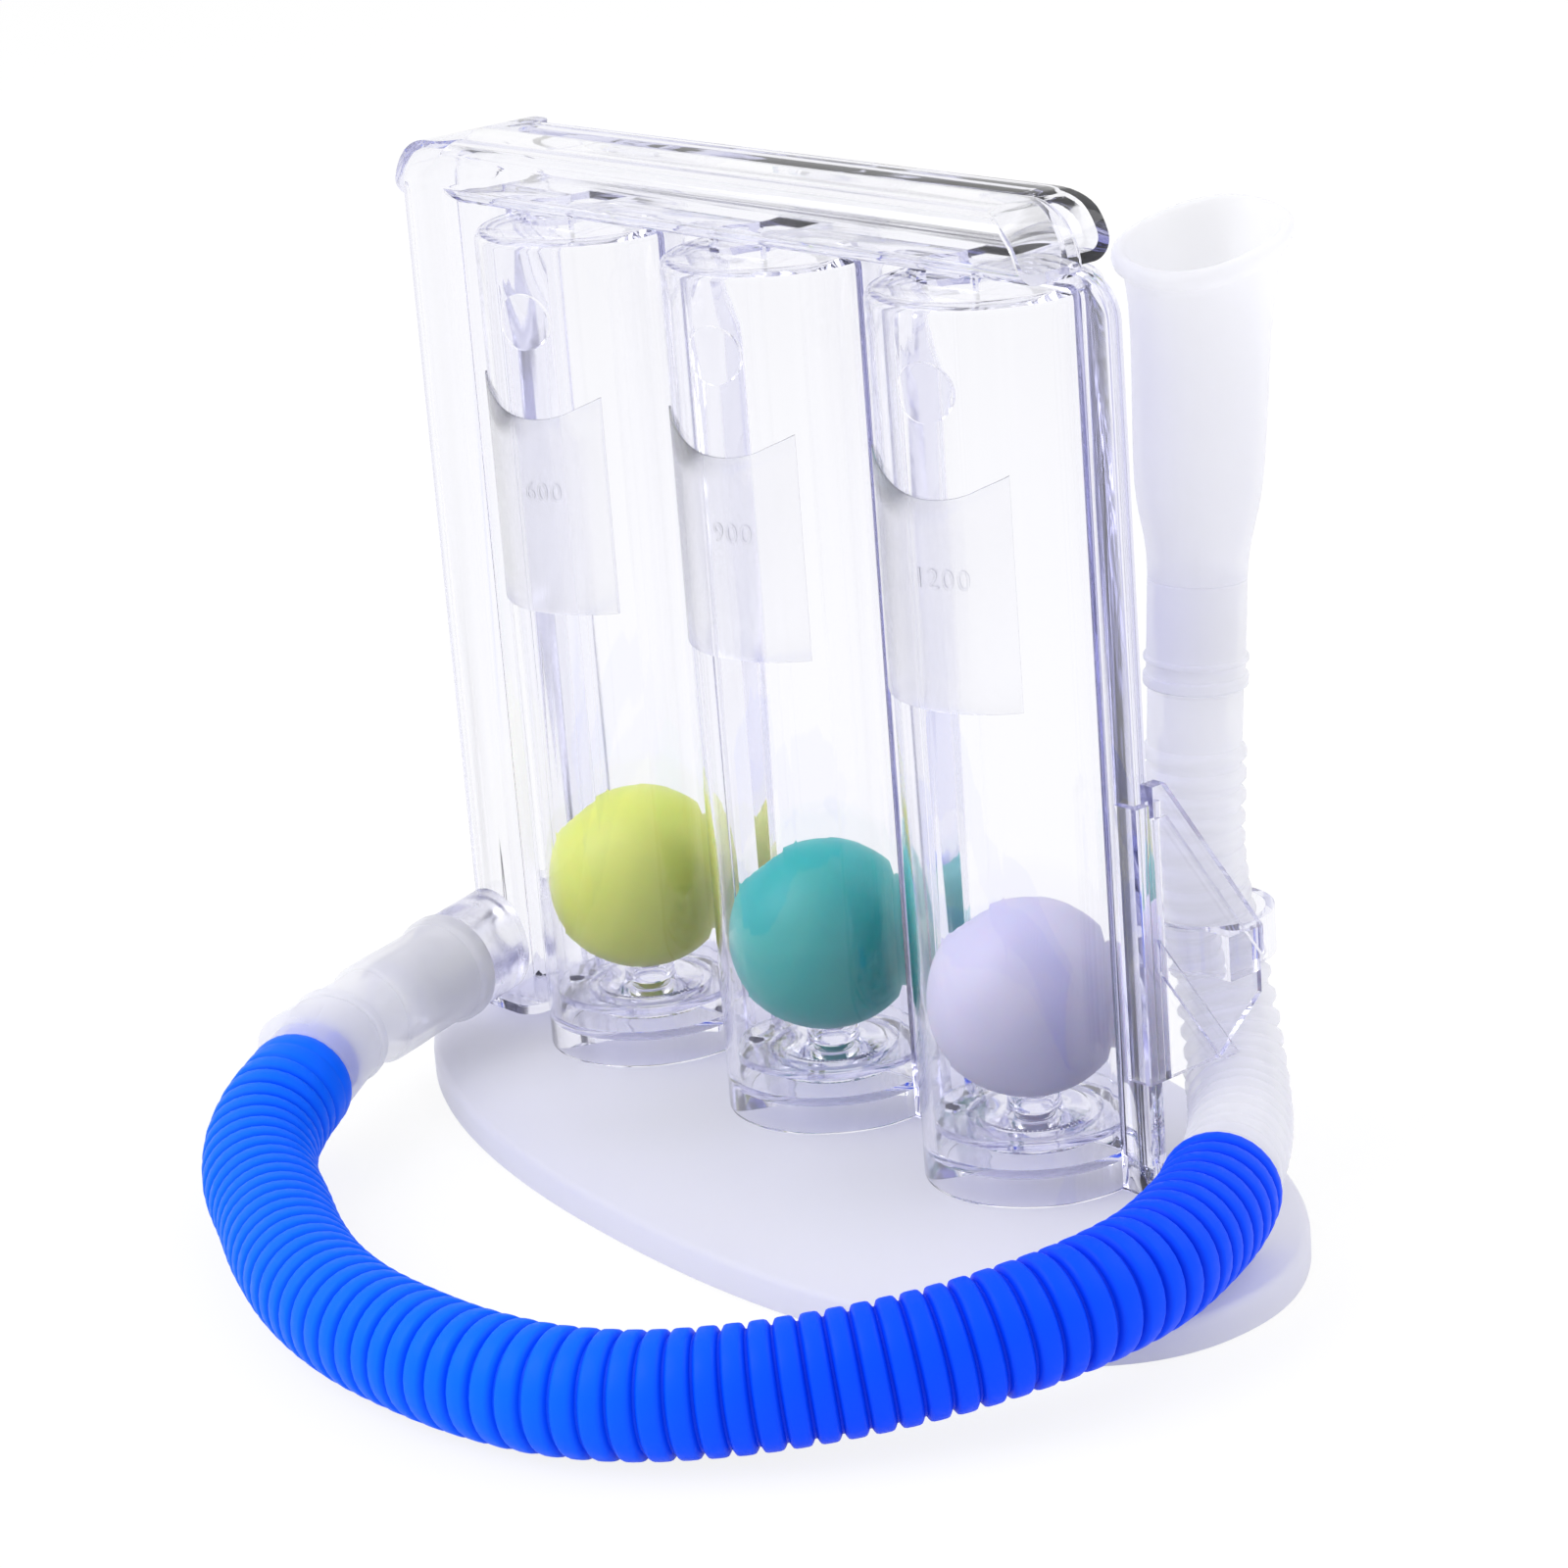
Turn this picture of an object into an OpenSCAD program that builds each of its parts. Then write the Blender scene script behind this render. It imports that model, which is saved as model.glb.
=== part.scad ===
// Three-ball breathing trainer: a clear body with three ball tubes on an oval foot,
// a corrugated hose from the port at the lower left and a flared mouthpiece.
// Millimetres. X runs to the right, Y to the back and Z up. The origin is on the
// surface that the foot stands on, at the middle of the body and foot.
// Inside the modules, x and y are counted from the middle tube's axis.

/* [Balls and tubes] */
// Clearance between a ball and the inside of its tube
ball_gap = 0.5; // [0.3:0.05:1]
// Wall of the hollow balls
ball_wall = 1; // [0.6:0.1:2]
// Height of a resting ball's lowest point
ball_rest = 15; // [15:0.1:16]
// Distance between the tubes' axes
tube_pitch = 38.8; // [36:0.1:42]
// Outer diameter of a tube
tube_d = 29.4; // [29:0.1:31]
// Wall of the clear shells
wall = 1.2; // [0.8:0.1:1.4]
// Gap between the tubes' tops and the header
header_gap = 1.6; // [1.2:0.1:2]
// Rounding of the tubes' top edges
tube_edge = 1.5; // [0.5:0.1:2.5]
// Height of the floor inside a tube
floor_z = 9.5; // [8:0.1:10]
// Diameter of the air inlet in a tube's floor
inlet_d = 8; // [4:0.5:10]

/* [Air channel and header] */
// Distance of the channel's outer side from the middle tube
channel_far = 69; // [68.5:0.1:72]
// Width of the channel
channel_w = 12.2; // [11:0.1:13]
// Depth of the channel and header in front of the middle plane
duct_front = 8.5; // [8:0.1:10]
// Depth of the channel and header behind the middle plane
duct_back = 11; // [9:0.1:11]
// Rounding of the channel's and header's long edges
duct_edge = 3; // [2:0.1:3.4]
// Height of the header from its underside to its top
header_h = 8.65; // [8:0.05:9.5]
// Overall height of the body
body_h = 131.25; // [131:0.1:140]
// Right end of the header on the front shell
header_end_front = 54; // [50:0.1:56]
// Right end of the header on the back shell
header_end_back = 50; // [46:0.1:50]
// Outer corner radius of the channel and header
corner_out = 8; // [5:0.1:8]
// Inner corner radius of the channel and header
corner_in = 3; // [2:0.1:5]
// Width of the passage from a tube into the header
passage_w = 8; // [6:0.1:10]
// Depth of the passage from a tube into the header
passage_d = 10; // [6:0.1:11]

/* [Seam flange] */
// Distance of the seam behind the tubes' axes
seam_y = 2; // [1.5:0.1:2.5]
// Thickness of each shell's flange
flange_t = 1.2; // [0.8:0.1:1.5]
// Right edge of the flange
flange_end = 59; // [58:0.1:60]
// Height of the flange's top above the header's underside
flange_rise = 0.4; // [0.2:0.1:1]
// Corner radius of the flange
flange_corner = 6; // [3:0.1:8]

/* [Foot plate] */
// Length of the foot plate
foot_l = 166; // [160:1:176]
// Width of the foot plate before its skew
foot_w = 81.4; // [74:0.1:90]
// Forward skew of the foot plate from its middle to its right end
foot_skew = 9.9; // [6:0.1:12]
// Power of the foot plate's outline
foot_power = 2.2; // [2:0.05:2.6]
// Height of the foot plate's top
foot_top = 4.5; // [4:0.1:5]
// Thickness of the foot plate's top and rim
foot_t = 1.7; // [1.2:0.1:2.5]
// Distance of the foot's middle to the right of the middle tube
foot_x = 5; // [4:0.1:6]
// Distance of the foot's middle in front of the middle tube
foot_y = 4; // [3:0.1:5]
// Inset of the foot plate's softened top edge
foot_edge = 0.8; // [0.2:0.1:1.2]

/* [Ball seats] */
// Diameter of a ball seat
seat_d = 17; // [15:0.1:19]
// Height of a ball seat's top
seat_top = 14.3; // [13:0.1:14.5]
// Inner diameter of the ring that a ball rests on
lip_d = 5; // [4:0.1:6]
// Wall of the ring that a ball rests on
lip_wall = 1; // [0.6:0.1:1.5]
// Clearance between a resting ball and its ring
rest_gap = 0.03; // [0.02:0.01:0.08]
// Width of the vent in a ball seat's side
vent_w = 1; // [0.6:0.1:1.6]
// Height of the vent in a ball seat's side
vent_h = 2.5; // [1.5:0.1:3]

/* [Labels and discs] */
// Thickness of a label
label_t = 0.3; // [0.15:0.05:0.5]
// Height of the labels at their curves' lowest point
label_h = 27; // [20:0.5:30]
// Distance of the labels' curved top edges below the tubes' tops
label_drop = 24; // [22:0.5:30]
// Distance of a label's left edge to the left of its tube's axis
label_x0 = 10; // [8:0.1:12]
// Distance of a label's right edge to the right of its tube's axis
label_x1 = 12; // [8:0.1:13]
// Distance of the curved edges' lowest points to the right of the tubes' axes
curve_x = 3; // [1:0.1:5]
// Radius of the labels' curved top edges
curve_r = 18; // [15:0.5:30]
// Distance of the discs' middles to the right of the tubes' axes
disc_x = 3.7; // [0:0.1:5]
// Distance of the discs' middles below the tubes' tops
disc_drop = 10.9; // [9:0.1:14]
// Diameter of a disc
disc_d = 7.6; // [5:0.1:9]
// Height that a disc stands proud
disc_t = 0.4; // [0.2:0.05:0.8]

/* [Port and sleeves] */
// Distance of the port to the left of the middle tube
port_x = 63; // [62:0.1:64]
// Distance of the port in front of the middle plane
port_y = 9; // [8.8:0.1:9.4]
// Height of the port
port_z = 15.3; // [14.5:0.1:16]
// Turn of the port's axis towards the middle
port_turn = 16; // [14:0.5:18]
// Dip of the port's axis
port_dip = 2; // [1:0.5:3]
// Diameter of the port's spigot
port_d = 12; // [11:0.1:12.4]
// Diameter of the port's boss
port_stop_d = 14.8; // [14:0.1:15]
// Diameter of the port's tenon in the shell
tenon_d = 8; // [7:0.1:8]
// Bore of the port
port_bore = 6.4; // [5:0.1:6.6]
// Length of the port's tenon behind its root
tenon_l = 2.5; // [2.2:0.1:3]
// End of the port's boss
stop_end = 10; // [9:0.5:11]
// End of the port's spigot
spigot_end = 24; // [20:0.5:28]
// Diameter of the cuff's bead
cuff_bead_d = 15.8; // [15.2:0.1:16.4]
// Length of the cuff's bead
cuff_bead_l = 3.2; // [2:0.1:4]
// Diameter of the cuff's wide part
cuff_wide_d = 14.4; // [14:0.1:15]
// End of the cuff's wide part
cuff_wide_end = 29.5; // [28:0.5:31]
// Diameter of the cuff's narrow part
cuff_narrow_d = 13.2; // [12.8:0.1:13.6]
// Where the cuff's end and the collar's axis meet
cuff_end = 36.2; // [35:0.1:37]
// Turn of the collar's axis towards the middle
collar_turn = 30; // [24:0.5:32]
// Dip of the collar's axis
collar_dip = 8; // [6:0.5:10]
// Outer diameter of the hose collar
collar_d = 13.7; // [13.6:0.1:14.4]
// Diameter of the collar's rim
collar_rim_d = 14.6; // [14.4:0.1:15.4]
// Length of the collar's rim
collar_rim_l = 1.8; // [1:0.1:3]
// Length of the collar
collar_l = 12; // [11:0.5:13]
// Length of the hose's neck inside the collar
neck_in = 4.5; // [4:0.5:5]
// Bore of the cuff and collar
sleeve_bore = 9.6; // [8:0.1:10]

/* [Blue hose] */
// Outer diameter of the blue hose
hose_d = 15.2; // [15:0.1:16]
// Depth of the blue hose's ribs
hose_rib = 0.8; // [0.5:0.1:0.9]
// Distance between the blue hose's ribs
hose_pitch = 3.06; // [2.9:0.02:3.5]
// Diameter of the blue hose's plain end inside the collar
neck_d = 11.8; // [11.4:0.1:12]
// Bore of the blue hose
hose_bore = 10.4; // [10:0.1:10.6]

/* [Clear hose] */
// Outer diameter of the clear hose
tail_d = 13.4; // [12.6:0.1:13.6]
// Depth of the clear hose's ribs
tail_rib = 0.7; // [0.4:0.1:0.8]
// Distance between the clear hose's ribs
tail_pitch = 2.8; // [2.6:0.1:3.4]
// Bore of the clear hose
tail_bore = 9.4; // [8.6:0.1:9.6]
// Diameter of the clear hose's plain neck
tail_neck_d = 12.2; // [11.8:0.1:12.4]
// Length of the clear hose's plain neck
tail_neck_l = 7.6; // [7:0.1:7.8]
// Diameter of the neck's end inside the mouth cuff
tail_end_d = 10; // [9.6:0.1:10]
// Bore of the neck
tail_end_bore = 8; // [7.4:0.1:8.4]

/* [Mouth cuff and mouthpiece] */
// Distance of the mouth cuff's foot to the right of the middle tube
mouth_x = 50.2; // [50:0.1:51]
// Distance of the mouth cuff's foot behind the tubes' backs
mouth_off = 6.9; // [6.7:0.1:7.3]
// Height of the mouth cuff's foot
mouth_z = 66; // [65:0.1:67]
// Lean of the mouthpiece's axis to the right
lean_x = 2.3; // [1.5:0.1:3]
// Lean of the mouthpiece's axis to the back
lean_y = 2.8; // [2:0.1:3.5]
// Diameter of the mouth cuff
mouth_cuff_d = 12.6; // [12.4:0.1:13.4]
// Diameter of the mouth cuff's beads
mouth_bead_d = 13.4; // [13.2:0.1:14.4]
// Length of the mouth cuff
mouth_cuff_l = 14; // [13:0.1:15]
// Depth of the mouth cuff's lower socket
socket_l = 6; // [5.4:0.1:6.4]
// Diameter of the mouthpiece's spigot
mouth_spigot_d = 10.6; // [10.4:0.1:10.8]
// Radial clearance of the swivelling and sliding fits
fit_gap = 0.06; // [0.03:0.01:0.1]
// Gap between faces that pass each other
face_gap = 0.3; // [0.1:0.05:0.5]
// Overall height of the mouthpiece above its cuff's foot
mouth_l = 57.5; // [56:0.5:58.5]
// Wall of the mouthpiece
mouth_wall = 1.1; // [0.8:0.1:1.3]
// Width of the mouthpiece's lip
lip_w = 17.8; // [17:0.1:19]
// Length of the mouthpiece's lip
lip_l = 24.4; // [23.6:0.1:25.4]
// Rise of the lip over its half length
lip_rise = 2.6; // [1:0.1:3]
// Share of that rise that the lip has towards its left side
lip_roll = 0.5; // [0:0.05:0.6]
// Rounding of the lip's rolled edge
lip_round = 0.6; // [0.3:0.1:0.8]
// Wall of the lip's rolled edge
roll_t = 1.4; // [1.2:0.1:1.6]

/* [Holder wing] */
// Thickness of the wing's grip on the flange
grip_t = 1.1; // [0.8:0.1:1.4]
// Depth that the grip reaches over the flange
grip_reach = 2.4; // [1.5:0.1:3]
// Clearance between the grip and the flange
grip_gap = 0.03; // [0.02:0.01:0.08]
// Lower edge of the wing
wing_z = 20.6; // [20.4:0.1:22]
// Top of the grip
grip_top = 57; // [54:0.1:58]
// Top of the wing at the flange
wing_top = 59.5; // [57:0.1:61]
// Height of the wing's rear corner
wing_rear_z = 36.3; // [34:0.1:38]
// Distance of the wing's rear edge in front of the mouth cuff's middle
wing_short = 1.2; // [1:0.1:2.6]
// Height where the wing's lower rear corner is cut off
wing_cut_z = 27; // [26.5:0.1:28]
// Where the cut of the wing's lower rear corner begins
wing_cut_y = 12; // [10:0.1:12.5]
// Thickness of the wing
wing_t = 1.4; // [1.2:0.1:1.8]
// Height that the wing's ribs stand proud
wing_rib_t = 0.7; // [0.4:0.1:1]
// Width of the wing's upper rib, measured upright
wing_rib_w = 4.2; // [2.5:0.1:5]
// Top of the wing's lower rib at the flange
wing_rib2_z = 39.6; // [38:0.1:41]
// Lower end of the hose clip
clip_z = 29.6; // [29:0.1:30.2]
// Height of the hose clip
clip_h = 6; // [5:0.1:7]
// Distance of the hose clip to the right of the middle tube
clip_x = 49.4; // [49.2:0.1:49.6]
// Slope of the wing's lower rib
rib2_slope = 1.45; // [1:0.05:2]
// Distance of the hose clip behind the mouth cuff's middle
clip_back = 0.9; // [0.7:0.1:1.1]
// Inner diameter of the hose clip
clip_d = 15; // [14.8:0.1:15.2]
// Wall of the hose clip
clip_t = 1.2; // [0.9:0.1:1.4]
// Opening of the hose clip
clip_gap = 9; // [8:0.1:10]

/* [Hidden] */

$fn = 64;
// Extra reach of a cut past the face that it opens
cut = 1;
// Depth that joined shapes run into each other
joined = 0.4;

tube_r = tube_d / 2;
header_z = body_h - header_h;
tube_top = header_z - header_gap;
flange_top = header_z + flange_rise;
label_top = tube_top - label_drop;
label_z = label_top - label_h;
disc_z = tube_top - disc_drop;
ball_d = tube_d - 2 * wall - 2 * ball_gap;
mouth_y = tube_r + mouth_off;
clip_y = mouth_y + clip_back;
wing_rear = mouth_y - wing_short;
foot_half = foot_l / 2;
origin_x = foot_x;
origin_y = -foot_y;
channel_in = channel_far - channel_w;
far_y = tube_d * 2;

// The foot's outline is a skewed superellipse with this many corners.
foot_steps = 120;
function power(v, p) = (v < 0 ? -1 : 1) * pow(abs(v), p);
function foot_outline(inset) = [for (i = [0 : foot_steps - 1])
    let (a = 360 * i / foot_steps,
         u = power(cos(a), 2 / foot_power), w = power(sin(a), 2 / foot_power))
    [foot_x + (foot_half - inset) * u,
     -foot_y + (foot_w / 2 - inset) * w - foot_skew * u]];

// Directions of the port's and the mouthpiece's axes, and points along them.
port_dir = [cos(port_dip) * sin(port_turn), -cos(port_dip) * cos(port_turn), -sin(port_dip)];
function port_point(s) = [-port_x, -port_y, port_z] + s * port_dir;
collar_dir = [cos(collar_dip) * sin(collar_turn), -cos(collar_dip) * cos(collar_turn),
              -sin(collar_dip)];
function collar_point(s) = port_point(cuff_end) + s * collar_dir;
mouth_dir = [cos(lean_y) * sin(lean_x), sin(lean_y), cos(lean_y) * cos(lean_x)];
function mouth_point(s) = [mouth_x, mouth_y, mouth_z] + s * mouth_dir;

// The blue hose's route. It leaves the collar straight.
straight_l = 4;
hose_low = hose_d / 2;
hose_route = [collar_point(collar_l - neck_in), collar_point(collar_l),
    collar_point(collar_l + straight_l), [-42.1, -62.8, 10.7], [-37.5, -68.4, 9.3],
    [-30.2, -73.8, 8.2], [-20.6, -78.5, 7.7], [-9.8, -83.8, hose_low], [2.1, -88.3, hose_low],
    [14.1, -90.8, hose_low], [25.7, -91.2, hose_low], [36.9, -90.3, hose_low],
    [47.6, -87.3, hose_low], [57.2, -81.8, 7.8], [65.8, -74, 8.4], [73.3, -64.8, 9.3],
    [79.5, -55.8, 10.5], [84.1, -46.7, 11.8], [86.4, -37.2, 12.6], [85.8, -27.1, 12.7],
    [82.6, -17.2, 12.6], [79.3, -9.8, 12.6], [75.8, -4.2, 12.6]];
// The clear hose's route, from the blue hose up to the mouth cuff.
tail_route = [[75.8, -4.2, 12.6], [72.8, 0.5, 12.7], [69.6, 5.1, 12.8], [66, 9.5, 12.8],
    [62.2, mouth_y - 8, 13.4], [58.4, mouth_y - 4.4, 15.4], [55, mouth_y - 1.6, 18.9],
    [52.3, mouth_y + 0.3, 23.4], [50.2, mouth_y + 1.1, 28.5], [49, mouth_y + 0.9, 34],
    [49, mouth_y - 0.2, 39.5], [49.4, mouth_y - 1, 45],
    mouth_point(-14), mouth_point(-tail_neck_l)];

// A smooth curve through the points of a route, with a given number of steps a span.
function spline(a, b, c, d, t) = ((2 * b) + (c - a) * t + (2 * a - 5 * b + 4 * c - d) * t * t
    + (3 * b - 3 * c + d - a) * t * t * t) / 2;
span_steps = 24;
function curve(route) = let (n = len(route) - 1) [
    for (i = [0 : n - 1], k = [0 : span_steps - 1])
        spline(i == 0 ? 2 * route[0] - route[1] : route[i - 1], route[i], route[i + 1],
               i == n - 1 ? 2 * route[n] - route[n - 1] : route[i + 2], k / span_steps),
    route[n]];
function lengths(pts, i = 0, s = 0, out = []) = i >= len(pts) ? out :
    lengths(pts, i + 1, i + 1 < len(pts) ? s + norm(pts[i + 1] - pts[i]) : s,
            concat(out, [s]));
// The point at a distance s along a curve, found by linear interpolation.
function place(pts, lens, s) = let (
    last = len(pts) - 1,
    i = max(0, min(last - 1, search_step(lens, s, 0, last))),
    f = (s - lens[i]) / (lens[i + 1] - lens[i]))
    pts[i] + f * (pts[i + 1] - pts[i]);
function search_step(lens, s, lo, hi) = hi - lo <= 1 ? lo :
    let (mid = floor((lo + hi) / 2)) lens[mid] <= s ? search_step(lens, s, mid, hi)
                                                    : search_step(lens, s, lo, mid);
function unit(v) = v / norm(v);

// The corners of one ring of a hose, eight to a ring.
sides = 8;
// Neighbouring rings keep their corners in line by starting each at the last one's side.
function frames(dirs, i = 0, side = [0, 0, 0], out = []) = i >= len(dirs) ? out :
    let (s = i == 0 ? unit(cross(dirs[0], [0, 0, 1]))
                    : unit(side - (side * dirs[i]) * dirs[i]))
    frames(dirs, i + 1, s, concat(out, [[s, cross(s, dirs[i])]]));
function corners(centre, frame, r) = [for (k = [0 : sides - 1])
    let (a = 360 * (k + 0.5) / sides) centre + r * cos(a) * frame[0] + r * sin(a) * frame[1]];

// A ribbed hose from lists of [distance, outer radius] and a bore.
module ribbed_hose(route, outer, bore_r) {
    pts = curve(route);
    lens = lengths(pts);
    total = lens[len(lens) - 1];
    stations = [for (o = outer) min(o[0], total)];
    tiny = hose_pitch / 50;
    centres = [for (s = stations) place(pts, lens, s)];
    dirs = [for (s = stations) unit(place(pts, lens, min(total, s + tiny))
                                    - place(pts, lens, max(0, s - tiny)))];
    turned = frames(dirs);
    n = len(outer);
    shell = [for (i = [0 : n - 1]) each corners(centres[i], turned[i], outer[i][1])];
    hollow = [for (i = [0 : n - 1]) each corners(centres[i], turned[i], bore_r)];
    m = n * sides;
    skin = [for (i = [0 : n - 2], k = [0 : sides - 1])
        let (a = i * sides + k, b = i * sides + (k + 1) % sides)
        each [[a, b, b + sides], [a, b + sides, a + sides]]];
    bore = [for (i = [0 : n - 2], k = [0 : sides - 1])
        let (a = m + i * sides + k, b = m + i * sides + (k + 1) % sides)
        each [[a, b + sides, b], [a, a + sides, b + sides]]];
    first = [for (k = [0 : sides - 1]) let (j = (k + 1) % sides)
        each [[k, m + k, m + j], [k, m + j, j]]];
    e = (n - 1) * sides;
    last = [for (k = [0 : sides - 1]) let (j = (k + 1) % sides)
        each [[e + k, e + j, m + e + j], [e + k, m + e + j, m + e + k]]];
    polyhedron(concat(shell, hollow), concat(skin, bore, first, last), convexity = 12);
}

// Distances and radii of a hose's ribs between two distances.
function ribs(from, to, pitch, top_r, low_r) = let (count = floor((to - from) / pitch),
    step = (to - from) / count)
    [for (i = [0 : count - 1]) each [[from + i * step, low_r], [from + (i + 0.5) * step, top_r]]];

hose_pts = curve(hose_route);
hose_lens = lengths(hose_pts);
hose_total = hose_lens[len(hose_lens) - 1];
tail_pts = curve(tail_route);
tail_lens = lengths(tail_pts);
tail_total = tail_lens[len(tail_lens) - 1];
neck_l = neck_in;
hose_outer = concat([[0, neck_d / 2], [neck_l, neck_d / 2]],
    ribs(neck_l + joined / 2, hose_total, hose_pitch, hose_d / 2, hose_d / 2 - hose_rib),
    [[hose_total, hose_d / 2 - hose_rib]]);
tail_outer = concat(
    ribs(0, tail_total, tail_pitch, tail_d / 2, tail_d / 2 - tail_rib),
    [[tail_total, tail_d / 2 - tail_rib]]);

// The least gap between stretches of the two hoses more than two diameters apart.
gap_steps = 60;
gap_pts = [for (i = [0 : gap_steps]) place(hose_pts, hose_lens, hose_total * i / gap_steps)];
least_gap = min([for (i = [0 : gap_steps], j = [i + 1 : 1 : gap_steps])
    if ((j - i) * hose_total / gap_steps > 2 * hose_d) norm(gap_pts[i] - gap_pts[j]) - hose_d]);
echo(blue_hose_length = hose_total, clear_hose_length = tail_total, blue_hose_least_gap = least_gap,
     blue_ribs = (len(hose_outer) - 3) / 2, clear_ribs = (len(tail_outer) - 1) / 2);

module at_origin() translate([-origin_x, -origin_y, 0]) children();
module at_port() translate([-port_x, -port_y, port_z]) rotate([90 + port_dip, 0, port_turn]) children();
module at_collar() translate(port_point(cuff_end)) rotate([90 + collar_dip, 0, collar_turn]) children();
module at_mouth() translate([mouth_x, mouth_y, mouth_z]) rotate([-lean_y, lean_x, 0]) children();
module at_tube(i) translate([i * tube_pitch, 0, 0]) children();

module tube_ring(outer_r, inner_r, low, high) translate([0, 0, low]) difference() {
    cylinder(r = outer_r, h = high - low);
    translate([0, 0, -cut]) cylinder(r = inner_r, h = high - low + 2 * cut);
}

// The front view of the channel and header, drawn in by t.
module duct_outline(end, t) difference() {
    union() {
        translate([-channel_far + t, foot_top + t])
            square([channel_far + end - 2 * t, body_h - foot_top - corner_out - t]);
        translate([-channel_far + corner_out, foot_top + t])
            square([channel_far + end - 2 * corner_out, body_h - foot_top - 2 * t]);
        for (x = [-channel_far + corner_out, end - corner_out])
            translate([x, body_h - corner_out]) circle(r = corner_out - t);
    }
    translate([-channel_in + corner_in, -cut])
        square([channel_in + end + cut, header_z + t + cut]);
    translate([-channel_in - t, -cut])
        square([channel_in + end + cut, header_z - corner_in + cut]);
    translate([-channel_in + corner_in, header_z - corner_in]) circle(r = corner_in + t);
}

// A slab with two rounded long edges, drawn in by t, running along Z.
module round_slab(x0, x1, y0, y1, r, h) linear_extrude(height = h) {
    translate([x0 + r, y0]) square([x1 - x0 - 2 * r, y1 - y0]);
    translate([x0, y0 + r]) square([x1 - x0, y1 - y0 - 2 * r]);
    for (x = [x0 + r, x1 - r], y = [y0 + r, y1 - r]) translate([x, y]) circle(r = r);
}

module duct(end, t) intersection() {
    translate([0, far_y, 0]) rotate([90, 0, 0])
        linear_extrude(height = 2 * far_y) duct_outline(end, t);
    union() {
        round_slab(-channel_far + t, -channel_in - t, -duct_front + t, duct_back - t,
                   duct_edge - t, body_h);
        translate([-channel_far, 0, header_z + t])
            rotate([0, 90, 0]) mirror([1, 0, 0])
                round_slab(0, body_h - header_z - 2 * t, -duct_front + t, duct_back - t,
                           duct_edge - t, channel_far + end);
    }
}

module tube_outside() rotate_extrude() {
    translate([0, foot_top]) square([tube_r, tube_top - tube_edge - foot_top]);
    translate([0, tube_top - 2 * tube_edge]) square([tube_r - tube_edge, 2 * tube_edge]);
    translate([tube_r - tube_edge, tube_top - tube_edge]) circle(r = tube_edge);
}

module disc() intersection() {
    tube_ring(tube_r + disc_t, tube_r - joined, disc_z - disc_d, disc_z + disc_d);
    translate([disc_x, 0, disc_z]) rotate([90, 0, 0]) cylinder(d = disc_d, h = tube_d);
}

module flange() translate([0, seam_y + flange_t, 0]) rotate([90, 0, 0])
    linear_extrude(height = 2 * flange_t) {
        translate([-channel_in - joined, foot_top])
            square([channel_in + joined + flange_end, flange_top - flange_corner - foot_top]);
        translate([-channel_in - joined, foot_top])
            square([channel_in + joined + flange_end - flange_corner, flange_top - foot_top]);
        translate([flange_end - flange_corner, flange_top - flange_corner])
            circle(r = flange_corner);
    }

module body_outside(end) {
    duct(end, 0);
    flange();
    for (i = [-1 : 1]) at_tube(i) {
        tube_outside();
        translate([-passage_w / 2 - wall, -passage_d / 2 - wall, tube_top - tube_edge])
            cube([passage_w + 2 * wall, passage_d + 2 * wall,
                  header_z + wall / 2 - tube_top + tube_edge]);
        disc();
    }
}

module body_inside(end) {
    duct(end, wall);
    for (i = [-1 : 1]) at_tube(i) {
        translate([0, 0, floor_z]) cylinder(r = tube_r - wall, h = tube_top - wall - floor_z);
        translate([0, 0, foot_top - cut])
            cylinder(r = tube_r - wall, h = floor_z - wall - foot_top + cut);
        translate([0, 0, floor_z - wall - cut]) cylinder(d = inlet_d, h = wall + 2 * cut);
        translate([-passage_w / 2, -passage_d / 2, tube_top - wall - cut])
            cube([passage_w, passage_d, header_z - tube_top + 2 * wall + 2 * cut]);
    }
}

module front_half() translate([-channel_far - far_y, -far_y, -cut])
    cube([2 * (channel_far + far_y), far_y + seam_y, body_h + 2 * cut]);
module back_half() translate([-channel_far - far_y, seam_y, -cut])
    cube([2 * (channel_far + far_y), far_y, body_h + 2 * cut]);

module front_shell() color([0.9, 0.9, 0.96, 0.35]) at_origin() difference() {
    intersection() {
        body_outside(header_end_front);
        front_half();
    }
    body_inside(header_end_front);
    at_port() translate([0, 0, -channel_w / 2]) cylinder(d = tenon_d + 2 * grip_gap, h = channel_w);
}

module back_shell() color([0.88, 0.88, 0.95, 0.35]) at_origin() difference() {
    intersection() {
        body_outside(header_end_back);
        back_half();
    }
    body_inside(header_end_back);
    // An air notch in the skirt under each tube
    for (i = [-1 : 1]) at_tube(i)
        translate([-vent_h, 0, foot_top - cut]) cube([2 * vent_h, tube_d, vent_h + cut]);
}

module foot_plate() color([0.93, 0.93, 0.96, 0.8]) at_origin() difference() {
    union() {
        linear_extrude(height = foot_top - foot_edge) polygon(foot_outline(0));
        linear_extrude(height = foot_top - foot_edge / 3) polygon(foot_outline(foot_edge / 3));
        linear_extrude(height = foot_top) polygon(foot_outline(foot_edge));
    }
    translate([0, 0, -cut]) linear_extrude(height = foot_top - foot_t + cut)
        polygon(foot_outline(foot_t));
}

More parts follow.
